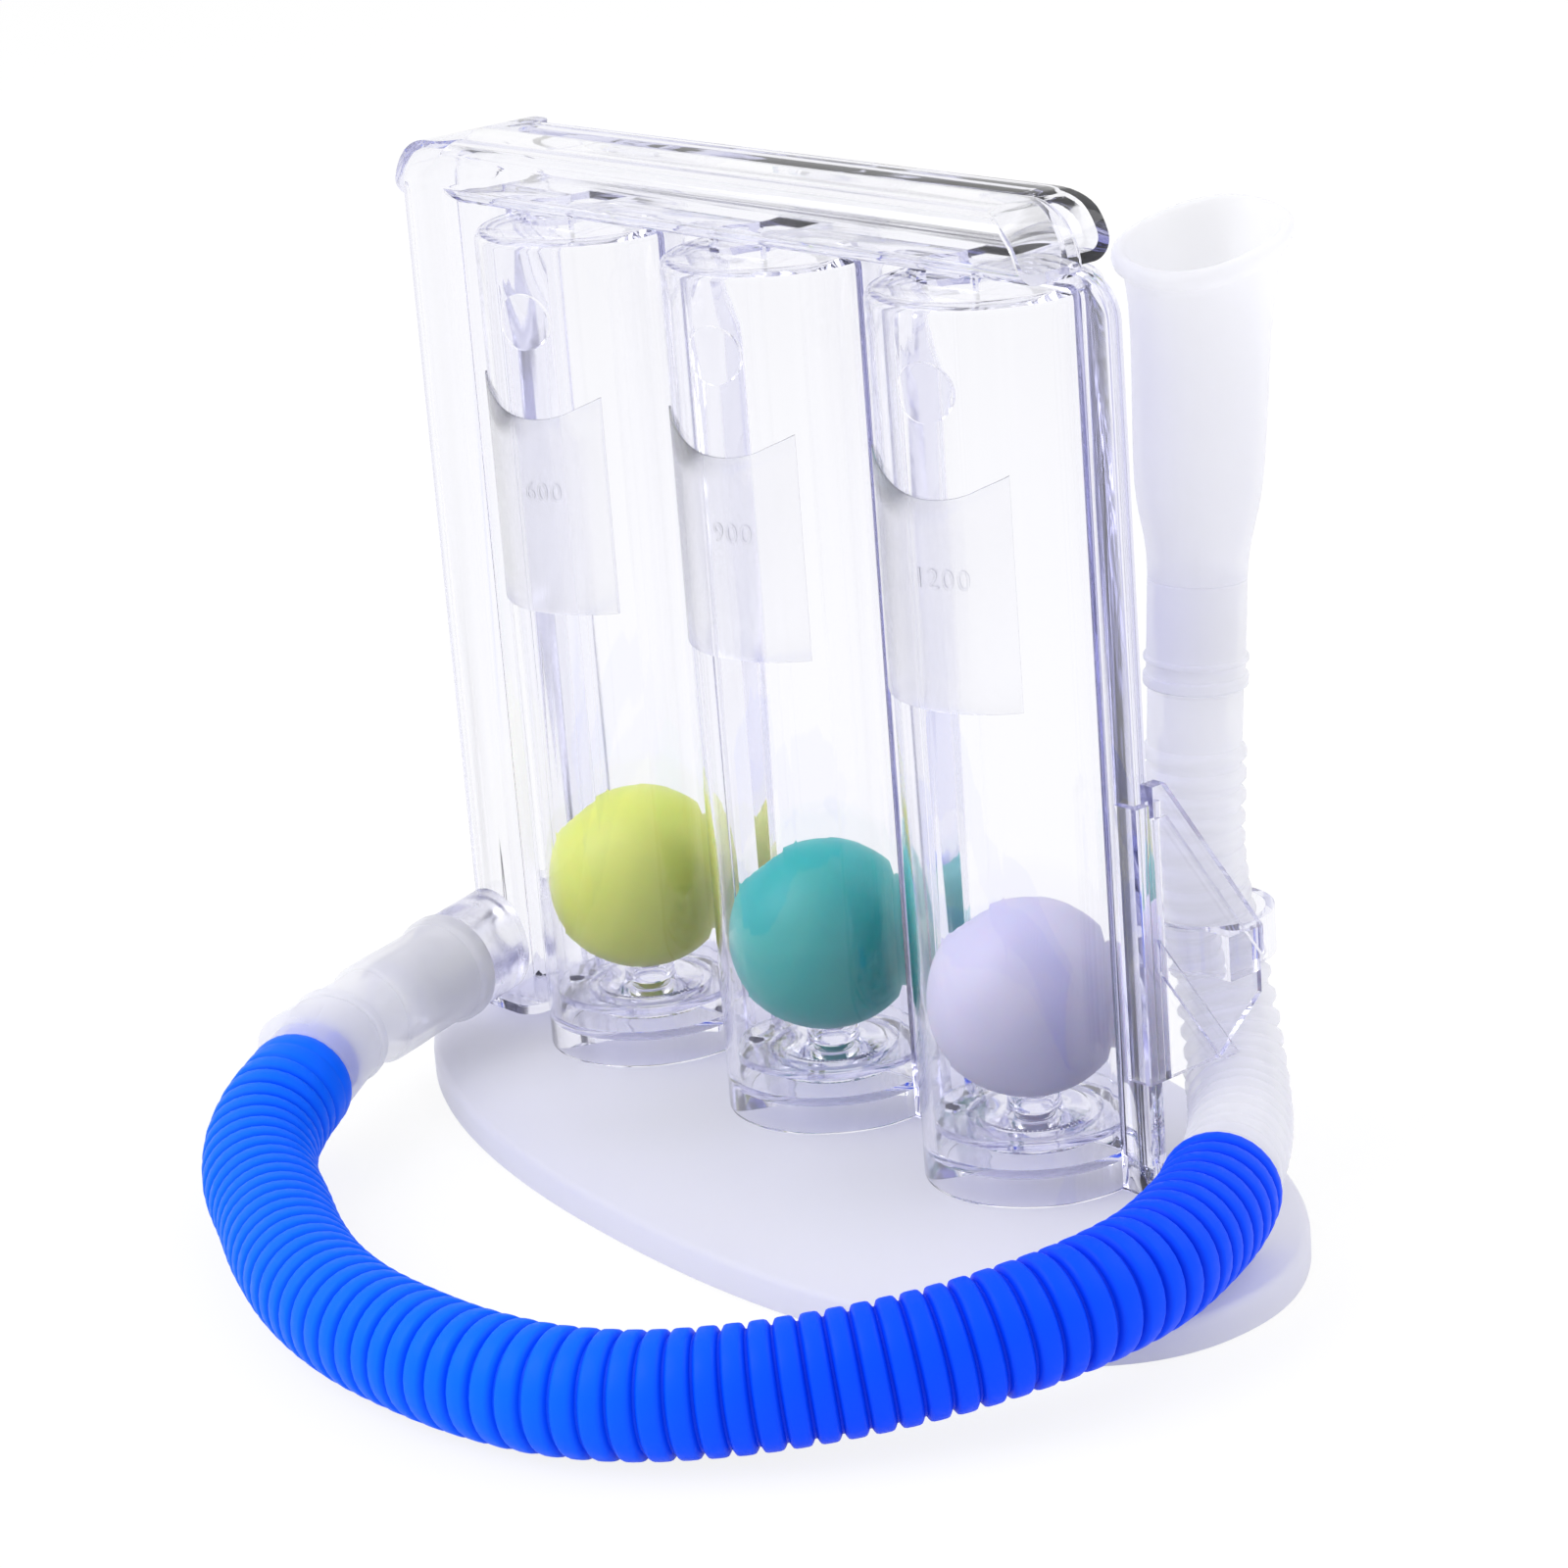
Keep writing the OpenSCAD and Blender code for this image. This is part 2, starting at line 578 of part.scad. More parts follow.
module seat() {
    rest_r = lip_d / 2;
    lip_top = ball_rest + ball_d / 2 - sqrt(ball_d * ball_d / 4 - rest_r * rest_r) - rest_gap;
    difference() {
        union() {
            translate([0, 0, floor_z]) cylinder(d = seat_d, h = seat_top - floor_z);
            translate([0, 0, floor_z]) cylinder(r = rest_r + lip_wall, h = lip_top - floor_z);
        }
        translate([0, 0, floor_z - cut]) cylinder(r = rest_r, h = tube_d);
        translate([0, 0, floor_z - cut])
            cylinder(d = seat_d - 2 * wall, h = seat_top - wall - floor_z + cut);
        rotate([0, 0, -115]) translate([seat_d / 2 - 2 * wall, -vent_w / 2,
                                        seat_top - wall - vent_h - joined])
            cube([seat_d, vent_w, vent_h]);
    }
}

module ball() translate([0, 0, ball_rest + ball_d / 2]) difference() {
    sphere(d = ball_d);
    sphere(d = ball_d - 2 * ball_wall);
}

module label() intersection() {
    tube_ring(tube_r + label_t, tube_r, label_z - cut, disc_z);
    rotate([90, 0, 0]) linear_extrude(height = tube_d) difference() {
        translate([-label_x0, label_z])
            square([label_x0 + label_x1, label_top + curve_r / 2 - label_z]);
        translate([curve_x, label_top + curve_r]) circle(r = curve_r);
    }
}

module seat_left() color([0.92, 0.92, 0.96, 0.4]) at_origin() at_tube(-1) seat();
module seat_middle() color([0.92, 0.92, 0.96, 0.4]) at_origin() at_tube(0) seat();
module seat_right() color([0.92, 0.92, 0.96, 0.4]) at_origin() at_tube(1) seat();
module ball_left() color([0.72, 0.8, 0.35]) at_origin() at_tube(-1) ball();
module ball_middle() color([0.25, 0.67, 0.64]) at_origin() at_tube(0) ball();
module ball_right() color([0.8, 0.78, 0.87]) at_origin() at_tube(1) ball();
module label_left() color([0.95, 0.95, 0.98, 0.4]) at_origin() at_tube(-1) label();
module label_middle() color([0.95, 0.95, 0.98, 0.4]) at_origin() at_tube(0) label();
module label_right() color([0.95, 0.95, 0.98, 0.4]) at_origin() at_tube(1) label();

module hose_port() color([0.9, 0.9, 0.95, 0.6]) at_origin() difference() {
    union() {
        at_port() translate([0, 0, -tenon_l]) cylinder(d = tenon_d, h = spigot_end + tenon_l);
        // The boss stands on the channel's front face.
        difference() {
            at_port() translate([0, 0, -stop_end]) cylinder(d = port_stop_d, h = 2 * stop_end);
            translate([-2 * channel_far, -duct_front - grip_gap, 0])
                cube([2 * channel_far, 2 * far_y, tube_top]);
        }
        at_port() translate([0, 0, stop_end - joined]) cylinder(d = port_d, h = spigot_end - stop_end + joined);
    }
    at_port() translate([0, 0, -tenon_l - cut])
        cylinder(d = port_bore, h = spigot_end + tenon_l + 2 * cut);
}

// The cuff's end is cut along the collar's tilted face.
module port_cuff() color([0.93, 0.93, 0.97, 0.7]) at_origin() difference() {
    at_port() union() {
        translate([0, 0, stop_end]) cylinder(d = cuff_bead_d, h = cuff_bead_l);
        translate([0, 0, stop_end]) cylinder(d = cuff_wide_d, h = cuff_wide_end - stop_end);
        translate([0, 0, stop_end]) cylinder(d = cuff_narrow_d, h = cuff_end - stop_end + cuff_bead_l);
    }
    at_port() translate([0, 0, stop_end - cut])
        cylinder(d = port_d + 2 * grip_gap, h = spigot_end - stop_end + cut + grip_gap);
    at_port() translate([0, 0, stop_end]) cylinder(d = sleeve_bore, h = cuff_end);
    at_collar() cylinder(d = 2 * cuff_bead_d, h = 2 * cuff_bead_d);
}

module hose_collar() color([0.93, 0.93, 0.97, 0.7]) at_origin() at_collar() difference() {
    union() {
        cylinder(d = collar_rim_d, h = collar_rim_l);
        cylinder(d = collar_d, h = collar_l);
    }
    translate([0, 0, -cut]) cylinder(d = sleeve_bore, h = collar_l);
    translate([0, 0, collar_l - neck_in]) cylinder(d = neck_d + 2 * grip_gap, h = collar_l);
}

module hose_blue() color([0, 0.33, 0.95]) at_origin()
    ribbed_hose(hose_route, hose_outer, hose_bore / 2);

module hose_clear() color([0.92, 0.92, 0.97, 0.6]) at_origin() {
    ribbed_hose(tail_route, tail_outer, tail_bore / 2);
    at_mouth() difference() {
        union() {
            translate([0, 0, -tail_neck_l]) cylinder(d = tail_neck_d, h = tail_neck_l - face_gap);
            translate([0, 0, -tail_neck_l])
                cylinder(d = tail_end_d, h = tail_neck_l + socket_l - face_gap);
        }
        translate([0, 0, -tail_neck_l - cut])
            cylinder(d = tail_end_bore, h = tail_neck_l + socket_l + 2 * cut);
    }
}

module mouth_cuff() color([0.93, 0.93, 0.97, 0.6]) at_origin() at_mouth() {
    bead = mouth_bead_d - mouth_cuff_d;
    difference() {
        union() {
            cylinder(d = mouth_cuff_d, h = mouth_cuff_l);
            cylinder(d = mouth_bead_d, h = bead * 2);
            translate([0, 0, bead * 4]) cylinder(d = mouth_bead_d, h = bead);
        }
        translate([0, 0, -cut]) cylinder(d = tail_end_d + 2 * fit_gap, h = socket_l + cut);
        translate([0, 0, socket_l - cut]) cylinder(d = tail_end_bore, h = 2 * cut);
        translate([0, 0, socket_l])
            cylinder(d = mouth_spigot_d + 2 * fit_gap, h = mouth_cuff_l);
    }
}

// Sections of the mouthpiece: [height, half width, half length, power, rise].
mouth_foot = mouth_cuff_l + fit_gap;
foot_r = mouth_cuff_d / 2;
mouth_sections = [
    [mouth_foot, foot_r, foot_r, 2, 0], [17, 6.4, 6.5, 2, 0], [20.5, 6.8, 7.2, 2.05, 0],
    [24.5, 7.1, 8.3, 2.1, 0], [30, 7.2, 8.9, 2.15, 0.05 * lip_rise],
    [37, 7.3, 9.1, 2.2, 0.15 * lip_rise], [44, 7.4, 9.4, 2.2, 0.35 * lip_rise],
    [50, 7.6, 9.9, 2.25, 0.6 * lip_rise], [mouth_l - 3.6, 7.9, 10.6, 2.3, 0.85 * lip_rise],
    [mouth_l - 2.2, (lip_w - lip_round) / 2, (lip_l - lip_round) / 2, 2.4, lip_rise],
    [mouth_l - 1.2, lip_w / 2, lip_l / 2, 2.4, lip_rise],
    [mouth_l - 0.4, lip_w / 2 - lip_round / 6, lip_l / 2 - lip_round / 6, 2.4, lip_rise],
    [mouth_l, lip_w / 2 - lip_round, lip_l / 2 - lip_round, 2.4, lip_rise]];
spigot_r = mouth_spigot_d / 2;
spigot_bore = spigot_r - mouth_wall;
// The bore follows the body's wall up to the rolled lip.
bore_sections = concat(
    [[mouth_l - lip_round / 3, lip_w / 2 - roll_t, lip_l / 2 - roll_t, 2.35, lip_rise],
     [mouth_l - 1.6, lip_w / 2 - roll_t - lip_round / 2, lip_l / 2 - roll_t - lip_round, 2.3, lip_rise]],
    [for (i = [8 : -1 : 1]) let (m = mouth_sections[i])
        [m[0], m[1] - mouth_wall, m[2] - mouth_wall, m[3], m[4]]],
    [[mouth_foot, spigot_bore + joined, spigot_bore + joined, 2, 0]]);
mouth_sides = 40;
function oval(s) = [for (k = [0 : mouth_sides - 1])
    let (a = 360 * k / mouth_sides,
         x = s[1] * power(cos(a), 2 / s[3]), y = s[2] * power(sin(a), 2 / s[3]))
    [x, y, s[0] + s[4] * (y / (lip_l / 2) - lip_roll * x / (lip_w / 2))]];

// A closed wall that goes up the outside and down the inside.
module closed_wall(sections) {
    n = len(sections);
    polyhedron([for (s = sections) each oval(s)],
        [for (i = [0 : n - 1], k = [0 : mouth_sides - 1])
            let (a = i * mouth_sides + k, b = i * mouth_sides + (k + 1) % mouth_sides,
                 c = (i + 1) % n * mouth_sides + k,
                 d = (i + 1) % n * mouth_sides + (k + 1) % mouth_sides)
            each [[a, d, b], [a, c, d]]], convexity = 8);
}

module mouthpiece() color([0.93, 0.93, 0.97, 0.55]) at_origin() at_mouth() {
    closed_wall(concat(mouth_sections, bore_sections));
    translate([0, 0, socket_l + face_gap]) difference() {
        cylinder(r = spigot_r, h = mouth_foot - socket_l - face_gap + 2 * joined);
        translate([0, 0, -cut]) cylinder(r = spigot_bore, h = 2 * mouth_foot);
    }
}

module wing_sheet(x, t, outline) translate([x, 0, 0]) rotate([90, 0, 90])
    linear_extrude(height = t) polygon(outline);

module holder_wing() color([0.9, 0.9, 0.95, 0.45]) at_origin() {
    grip_y0 = seam_y - flange_t - grip_gap - grip_t;
    grip_y1 = seam_y + flange_t + grip_gap + grip_t;
    wing_x = flange_end + grip_gap;
    difference() {
        translate([flange_end - grip_reach, grip_y0, wing_z])
            cube([grip_reach + grip_gap + wing_t, grip_y1 - grip_y0, grip_top - wing_z]);
        translate([-cut, seam_y - flange_t - grip_gap, wing_z - cut])
            cube([wing_x + cut, 2 * (flange_t + grip_gap), wing_top]);
    }
    wing_sheet(wing_x, wing_t, [[seam_y, wing_z], [wing_cut_y, wing_z], [wing_rear, wing_cut_z],
        [wing_rear, wing_rear_z], [grip_y1, wing_top], [seam_y, wing_top]]);
    wing_sheet(wing_x + wing_t - joined / 2, wing_rib_t + joined / 2,
        [[seam_y, wing_top], [grip_y1, wing_top], [wing_rear, wing_rear_z],
         [wing_rear, wing_rear_z - wing_rib_w], [grip_y1, wing_top - wing_rib_w],
         [seam_y, wing_top - wing_rib_w]]);
    wing_sheet(wing_x + wing_t - joined / 2, wing_rib_t + joined / 2,
        [[seam_y, wing_rib2_z], [seam_y + (wing_rib2_z - wing_z) / rib2_slope, wing_z],
         [seam_y + (wing_rib2_z - wing_rib_w - wing_z) / rib2_slope, wing_z],
         [seam_y, wing_rib2_z - wing_rib_w]]);
    // The clip behind the wing holds the clear hose upright.
    difference() {
        union() {
            translate([clip_x, clip_y, clip_z]) cylinder(d = clip_d + 2 * clip_t, h = clip_h);
            translate([clip_x, wing_rear - 4 * clip_t, clip_z])
                cube([wing_x + wing_t - clip_x, 4 * clip_t, clip_h]);
        }
        translate([clip_x, clip_y, clip_z - cut]) cylinder(d = clip_d, h = clip_h + 2 * cut);
        translate([clip_x - clip_d, clip_y - clip_gap / 2, clip_z - cut])
            cube([clip_d, clip_gap, clip_h + 2 * cut]);
    }
}

front_shell();
back_shell();
foot_plate();
holder_wing();
seat_left();
seat_middle();
seat_right();
ball_left();
ball_middle();
ball_right();
label_left();
label_middle();
label_right();
hose_port();
port_cuff();
hose_collar();
hose_blue();
hose_clear();
mouth_cuff();
mouthpiece();
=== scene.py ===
from math import atan2, cos, pi, radians, sin

import bpy
from mathutils import Matrix, Vector


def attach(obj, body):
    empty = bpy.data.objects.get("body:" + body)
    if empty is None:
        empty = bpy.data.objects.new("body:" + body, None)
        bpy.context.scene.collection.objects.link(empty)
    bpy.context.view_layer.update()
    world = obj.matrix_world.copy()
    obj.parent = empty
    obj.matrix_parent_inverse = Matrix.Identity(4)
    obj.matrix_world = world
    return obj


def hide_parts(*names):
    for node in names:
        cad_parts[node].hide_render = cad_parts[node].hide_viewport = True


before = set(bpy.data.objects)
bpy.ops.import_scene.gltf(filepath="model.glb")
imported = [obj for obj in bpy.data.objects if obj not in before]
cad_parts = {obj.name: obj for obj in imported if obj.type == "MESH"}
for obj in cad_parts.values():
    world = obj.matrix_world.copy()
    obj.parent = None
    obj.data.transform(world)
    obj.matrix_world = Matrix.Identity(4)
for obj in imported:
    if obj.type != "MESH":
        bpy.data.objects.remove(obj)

# Lengths are typed in millimetres. The middle tube's axis is the zero of x and y here, as it is
# in the part's own drawing, and the shared frame lies 5 mm to the right and 4 mm in front.
mm = 0.001
frameX, frameY = 5.0, -4.0
tubePitch = 38.8
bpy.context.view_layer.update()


def spot(x, y, z):
    return Vector(((x - frameX) * mm, (y - frameY) * mm, z * mm))


def clearSelection():
    if bpy.context.object and bpy.context.object.mode != "OBJECT":
        bpy.ops.object.mode_set(mode="OBJECT")
    bpy.ops.object.select_all(action="DESELECT")


def pick(piece):
    clearSelection()
    piece.select_set(True)
    bpy.context.view_layer.objects.active = piece


def settle(piece):
    pick(piece)
    bpy.ops.object.transform_apply(location=True, rotation=True, scale=True)


def smooth(piece, angle=35):
    pick(piece)
    bpy.ops.object.shade_smooth_by_angle(angle=radians(angle))


def finishModifier(piece, kind, **values):
    pick(piece)
    step = piece.modifiers.new(kind.title(), kind)
    for key, value in values.items():
        setattr(step, key, value)
    bpy.ops.object.modifier_apply(modifier=step.name)


def tidyNormals(piece):
    pick(piece)
    bpy.ops.object.mode_set(mode="EDIT")
    bpy.ops.mesh.select_all(action="SELECT")
    bpy.ops.mesh.remove_doubles(threshold=0.000002)
    bpy.ops.mesh.normals_make_consistent(inside=False)
    bpy.ops.object.mode_set(mode="OBJECT")


# In edit mode: the two open ends of a tube are joined by a ring of faces
def bridgeEnds():
    bpy.ops.mesh.select_all(action="DESELECT")
    bpy.ops.mesh.select_mode(type="EDGE")
    bpy.ops.mesh.select_non_manifold()
    bpy.ops.mesh.bridge_edge_loops()
    bpy.ops.mesh.select_mode(type="VERT")


def dress(piece, material):
    piece.data.materials.clear()
    piece.data.materials.append(material)


# Camera, at the photograph's place
cameraSettings = {
    "place": (430.52, -366.44, 231.64),
    "turn": (72.0421, 4.3041, 48.6077),    # degrees
    "lens": 102.84,
}
cameraData = bpy.data.cameras.new("camera")
camera = bpy.data.objects.new("camera", cameraData)
bpy.context.collection.objects.link(camera)
cameraData.lens = cameraSettings["lens"]
cameraData.sensor_width = 36
cameraData.clip_start = 0.01
camera.location = spot(*cameraSettings["place"])
camera.rotation_euler = [radians(a) for a in cameraSettings["turn"]]
bpy.context.scene.camera = camera
bpy.context.scene.view_settings.view_transform = "Standard"
cycles = bpy.context.scene.cycles    # light passes many clear walls here
cycles.max_bounces = 36
cycles.transmission_bounces = 26
cycles.glossy_bounces = 24
cycles.transparent_max_bounces = 16
print("camera placed")

# Axes of the port at the lower left, of the collar on its cuff and of the mouthpiece
portSettings = {"root": (-63, -9, 15.3), "turn": 16, "dip": 2}
collarSettings = {"start": 36.2, "turn": 30, "dip": 8, "socket": 7.5, "length": 12}
mouthSettings = {"foot": (50.2, 21.6, 66), "leanX": 2.3, "leanY": 2.8, "hoseStraight": -14, "ribsEnd": -7.6}


def sleevePlace(foot, turn, dip):
    return (Matrix.Translation(foot) @ Matrix.Rotation(radians(turn), 4, "Z")
            @ Matrix.Rotation(radians(90 + dip), 4, "X"))


def portPlace():
    return sleevePlace(spot(*portSettings["root"]), portSettings["turn"], portSettings["dip"])


def collarPlace():
    return sleevePlace(portPoint(collarSettings["start"]), collarSettings["turn"], collarSettings["dip"])


def mouthPlace():
    x, y, z = mouthSettings["foot"]
    return (Matrix.Translation(spot(x, y, z))
            @ Matrix.Rotation(radians(mouthSettings["leanX"]), 4, "Y")
            @ Matrix.Rotation(radians(-mouthSettings["leanY"]), 4, "X"))


def portPoint(s):
    return portPlace() @ Vector((0, 0, s * mm))


def collarPoint(s):
    return collarPlace() @ Vector((0, 0, s * mm))


def mouthPoint(s):
    return mouthPlace() @ Vector((0, 0, s * mm))


# Routes of the two hoses, the same as the part's
blueRoute = [collarPoint(s) for s in (collarSettings["socket"], collarSettings["length"], 16)]
blueRoute += [spot(*p) for p in (
    (-42.1, -62.8, 10.7), (-37.5, -68.4, 9.3), (-30.2, -73.8, 8.2), (-20.6, -78.5, 7.7),
    (-9.8, -83.8, 7.6), (2.1, -88.3, 7.6), (14.1, -90.8, 7.6), (25.7, -91.2, 7.6),
    (36.9, -90.3, 7.6), (47.6, -87.3, 7.6), (57.2, -81.8, 7.8), (65.8, -74, 8.4),
    (73.3, -64.8, 9.3), (79.5, -55.8, 10.5), (84.1, -46.7, 11.8), (86.4, -37.2, 12.6),
    (85.8, -27.1, 12.7), (82.6, -17.2, 12.6), (79.3, -9.8, 12.6), (75.8, -4.2, 12.6))]
clearRoute = [spot(*p) for p in (
    (75.8, -4.2, 12.6), (72.8, 0.5, 12.7), (69.6, 5.1, 12.8), (66, 9.5, 12.8), (62.2, 13.6, 13.4),
    (58.4, 17.2, 15.4), (55, 20, 18.9), (52.3, 21.9, 23.4), (50.2, 22.7, 28.5), (49, 22.5, 34),
    (49, 21.4, 39.5), (49.4, 20.6, 45))]
clearRoute += [mouthPoint(mouthSettings["hoseStraight"]), mouthPoint(mouthSettings["ribsEnd"])]


def smoothRoute(route, steps=24):
    last = len(route) - 1
    points = []
    for i in range(last):
        a = 2 * route[0] - route[1] if i == 0 else route[i - 1]
        b, c = route[i], route[i + 1]
        d = 2 * route[last] - route[last - 1] if i == last - 1 else route[i + 2]
        for k in range(steps):
            t = k / steps
            points.append((2 * b + (c - a) * t + (2 * a - 5 * b + 4 * c - d) * t * t
                           + (3 * b - 3 * c + d - a) * t ** 3) / 2)
    points.append(route[last].copy())
    return points


def measured(points):
    lengths = [0.0]
    for a, b in zip(points, points[1:]):
        lengths.append(lengths[-1] + (b - a).length)
    return lengths


def along(points, lengths, s):
    s = min(max(s, 0), lengths[-1])
    low, high = 0, len(lengths) - 1
    while high - low > 1:
        middle = (low + high) // 2
        if lengths[middle] <= s:
            low = middle
        else:
            high = middle
    share = (s - lengths[low]) / (lengths[high] - lengths[low])
    return points[low].lerp(points[high], share)


# A hose is made in code: rings of the given [distance, radius, crest] outside and back inside
def sweptHose(name, route, profile, sides=32):
    points = smoothRoute(route)
    lengths = measured(points)
    side = None
    vertices, crests = [], []
    frames = {}
    for s, radius, crest in profile:
        if s not in frames:
            here = along(points, lengths, s)
            ahead = along(points, lengths, s + 0.3 * mm) - along(points, lengths, s - 0.3 * mm)
            ahead.normalize()
            side = ahead.orthogonal().normalized() if side is None else side
            side = (side - side.dot(ahead) * ahead).normalized()
            frames[s] = (here, side.copy(), side.cross(ahead))
        here, across, up = frames[s]
        for k in range(sides):
            turn = 2 * pi * k / sides
            vertices.append(here + radius * (cos(turn) * across + sin(turn) * up))
            crests.append(crest)
    count = len(profile)
    faces = []
    for i in range(count):
        for k in range(sides):
            a, b = i * sides + k, i * sides + (k + 1) % sides
            c, d = (i + 1) % count * sides + (k + 1) % sides, (i + 1) % count * sides + k
            faces.append((a, d, c, b))
    mesh = bpy.data.meshes.new(name)
    mesh.from_pydata(vertices, [], faces)
    # crest is 1 on the ribs' crests and 0 in the grooves, the neck and the bore; the blue hose's material
    # uses it to paint shade into these low places
    layer = mesh.attributes.new("crest", "FLOAT", "POINT")
    layer.data.foreach_set("value", crests)
    hose = bpy.data.objects.new(name, mesh)
    bpy.context.collection.objects.link(hose)
    tidyNormals(hose)
    smooth(hose, 50)
    return hose


# Blue corrugated hose: flat ribs with narrow grooves, plainer where it leaves the collar
blueHoseSettings = {
    "radius": 7.6, "ribDepth": 0.8, "ribs": 68, "bore": 5.2,
    "neckRadius": 5.9, "neckLength": 4.5, "ribsAfter": 0.2,
    "plainRibs": 0.8, "shallowRibs": 2.5, "plainRadius": 7.4,    # counted in ribs from the collar
    "boreSteps": 80,
    "rib": ((0.0, 0.0), (0.08, 0.0), (0.14, 0.5), (0.2, 0.86), (0.3, 1.0), (0.52, 1.03), (0.76, 1.0),
            (0.86, 0.86), (0.93, 0.5)),    # share of a rib's length and height
    "shoulder": ((0.0, 5.95), (0.15, 6.5), (0.5, 6.95), (1.0, 7.2), (1.8, 7.38)),    # first few mm
}


def ribbedProfile(start, end, count, radius, depth, shape):
    step = (end - start) / count
    return [((start + (i + share) * step) * mm, (radius - depth + depth * height) * mm, height)
            for i in range(count) for share, height in shape]


bluePoints = smoothRoute(blueRoute)
blueLength = measured(bluePoints)[-1] / mm
blue = blueHoseSettings
blueProfile = [(0.0, blue["neckRadius"] * mm, 0.0), (blue["neckLength"] * mm, blue["neckRadius"] * mm, 0.0)]
blueProfile += [((blue["neckLength"] + 0.05 + s) * mm, radius * mm, 1.0) for s, radius in blue["shoulder"]]
ribStart = blue["neckLength"] + blue["ribsAfter"]
ribLength = (blueLength - ribStart) / blue["ribs"]
for s, radius, height in ribbedProfile(ribStart, blueLength, blue["ribs"], blue["radius"],
                                       blue["ribDepth"], blue["rib"]):
    index = (s / mm - ribStart) / ribLength
    if index < blue["plainRibs"]:
        continue
    calm = min(1.0, (index - blue["plainRibs"]) / blue["shallowRibs"])
    radius = radius * calm + blue["plainRadius"] * mm * (1 - calm)
    blueProfile.append((s, radius, height * calm + 1 - calm))
blueProfile += [(blueLength * mm, (blue["radius"] - blue["ribDepth"]) * mm, 0.0)]
blueBore = [(blueLength * mm * (1 - i / blue["boreSteps"]), blue["bore"] * mm, 0.0)
            for i in range(blue["boreSteps"] + 1)]
blueHose = sweptHose("blue_hose", blueRoute, blueProfile + blueBore)
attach(blueHose, "trainer")
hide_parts("hose_blue")
print("blue hose, mm:", round(blueLength, 1))

# Clear corrugated hose, which turns up behind the wing
clearHoseSettings = {
    "radius": 6.7, "ribDepth": 0.7, "ribs": 26, "bore": 4.7,
    "neckRadius": 6.1, "neckLength": 7.3, "neckEdge": 0.4, "boreSteps": 40,
    "endRadius": 5.0, "endLength": 13.3, "endInside": 6, "endEdge": 0.3, "endBore": 4.0,
    "rib": ((0.0, 0.0), (0.16, 0.0), (0.3, 0.6), (0.42, 0.96), (0.55, 1.0), (0.7, 0.96),
            (0.82, 0.6), (0.94, 0.0)),
}
clearLength = measured(smoothRoute(clearRoute))[-1] / mm
clear = clearHoseSettings
clearProfile = ribbedProfile(0, clearLength, clear["ribs"], clear["radius"], clear["ribDepth"], clear["rib"])
neckPoints = [mouthPoint(mouthSettings["ribsEnd"] + s)
              for s in (clear["neckLength"] / 2, clear["neckLength"], clear["endLength"])]
wholeRoute = clearRoute + neckPoints
wholeLength = measured(smoothRoute(wholeRoute))[-1] / mm
neckStop = wholeLength - clear["endInside"]
endRings = (
    (clearLength, clear["radius"] - clear["ribDepth"]),
    (clearLength + 0.5, clear["neckRadius"]),
    (neckStop - clear["neckEdge"], clear["neckRadius"]),
    (neckStop, clear["neckRadius"] - clear["neckEdge"]),
    (neckStop + 0.01, clear["endRadius"]),
    (wholeLength - clear["endEdge"], clear["endRadius"]),
    (wholeLength, clear["endRadius"] - clear["endEdge"]),
    (wholeLength, clear["endBore"]),
    (clearLength + 0.4, clear["endBore"]))
clearProfile += [(s * mm, radius * mm, 0.0) for s, radius in endRings]
clearProfile += [(clearLength * mm * (1 - i / clear["boreSteps"]), clear["bore"] * mm, 0.0)
                 for i in range(clear["boreSteps"] + 1)]
clearHose = sweptHose("clear_hose", wholeRoute, clearProfile)
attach(clearHose, "trainer")
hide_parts("hose_clear")
print("clear hose, mm:", round(clearLength, 1))


# A sleeve: a circle is drawn up and in through [radius, height] rings, and its ends are bridged
def turned(name, rings, sides=64, place=None):
    clearSelection()
    radius, height = rings[0]
    bpy.ops.mesh.primitive_circle_add(vertices=sides, radius=radius * mm, fill_type="NOTHING",
                                      location=(0, 0, 0))
    piece = bpy.context.object
    piece.name = name
    bpy.ops.object.mode_set(mode="EDIT")
    bpy.ops.mesh.select_all(action="SELECT")
    bpy.ops.transform.translate(value=(0, 0, height * mm))
    for nextRadius, nextHeight in rings[1:]:
        rise = (0, 0, (nextHeight - height) * mm)
        bpy.ops.mesh.extrude_region_move(TRANSFORM_OT_translate={"value": rise})
        grow = nextRadius / radius
        bpy.ops.transform.resize(value=(grow, grow, 1), center_override=(0, 0, nextHeight * mm))
        radius, height = nextRadius, nextHeight
    bridgeEnds()
    bpy.ops.object.mode_set(mode="OBJECT")
    if place is not None:
        piece.matrix_world = place
        settle(piece)
    tidyNormals(piece)
    smooth(piece)
    return piece


# Rounded outer corners for a sleeve, as short runs of rings
def roundCorner(radius, height, size, fromSide, steps=4):
    rings = []
    for i in range(steps + 1):
        turn = pi / 2 * i / steps
        if fromSide == "top":        # from the wall over onto the end face
            rings.append((radius - size + size * cos(turn), height - size + size * sin(turn)))
        else:                        # from the end face out onto the wall
            rings.append((radius - size + size * sin(turn), height + size - size * cos(turn)))
    return rings


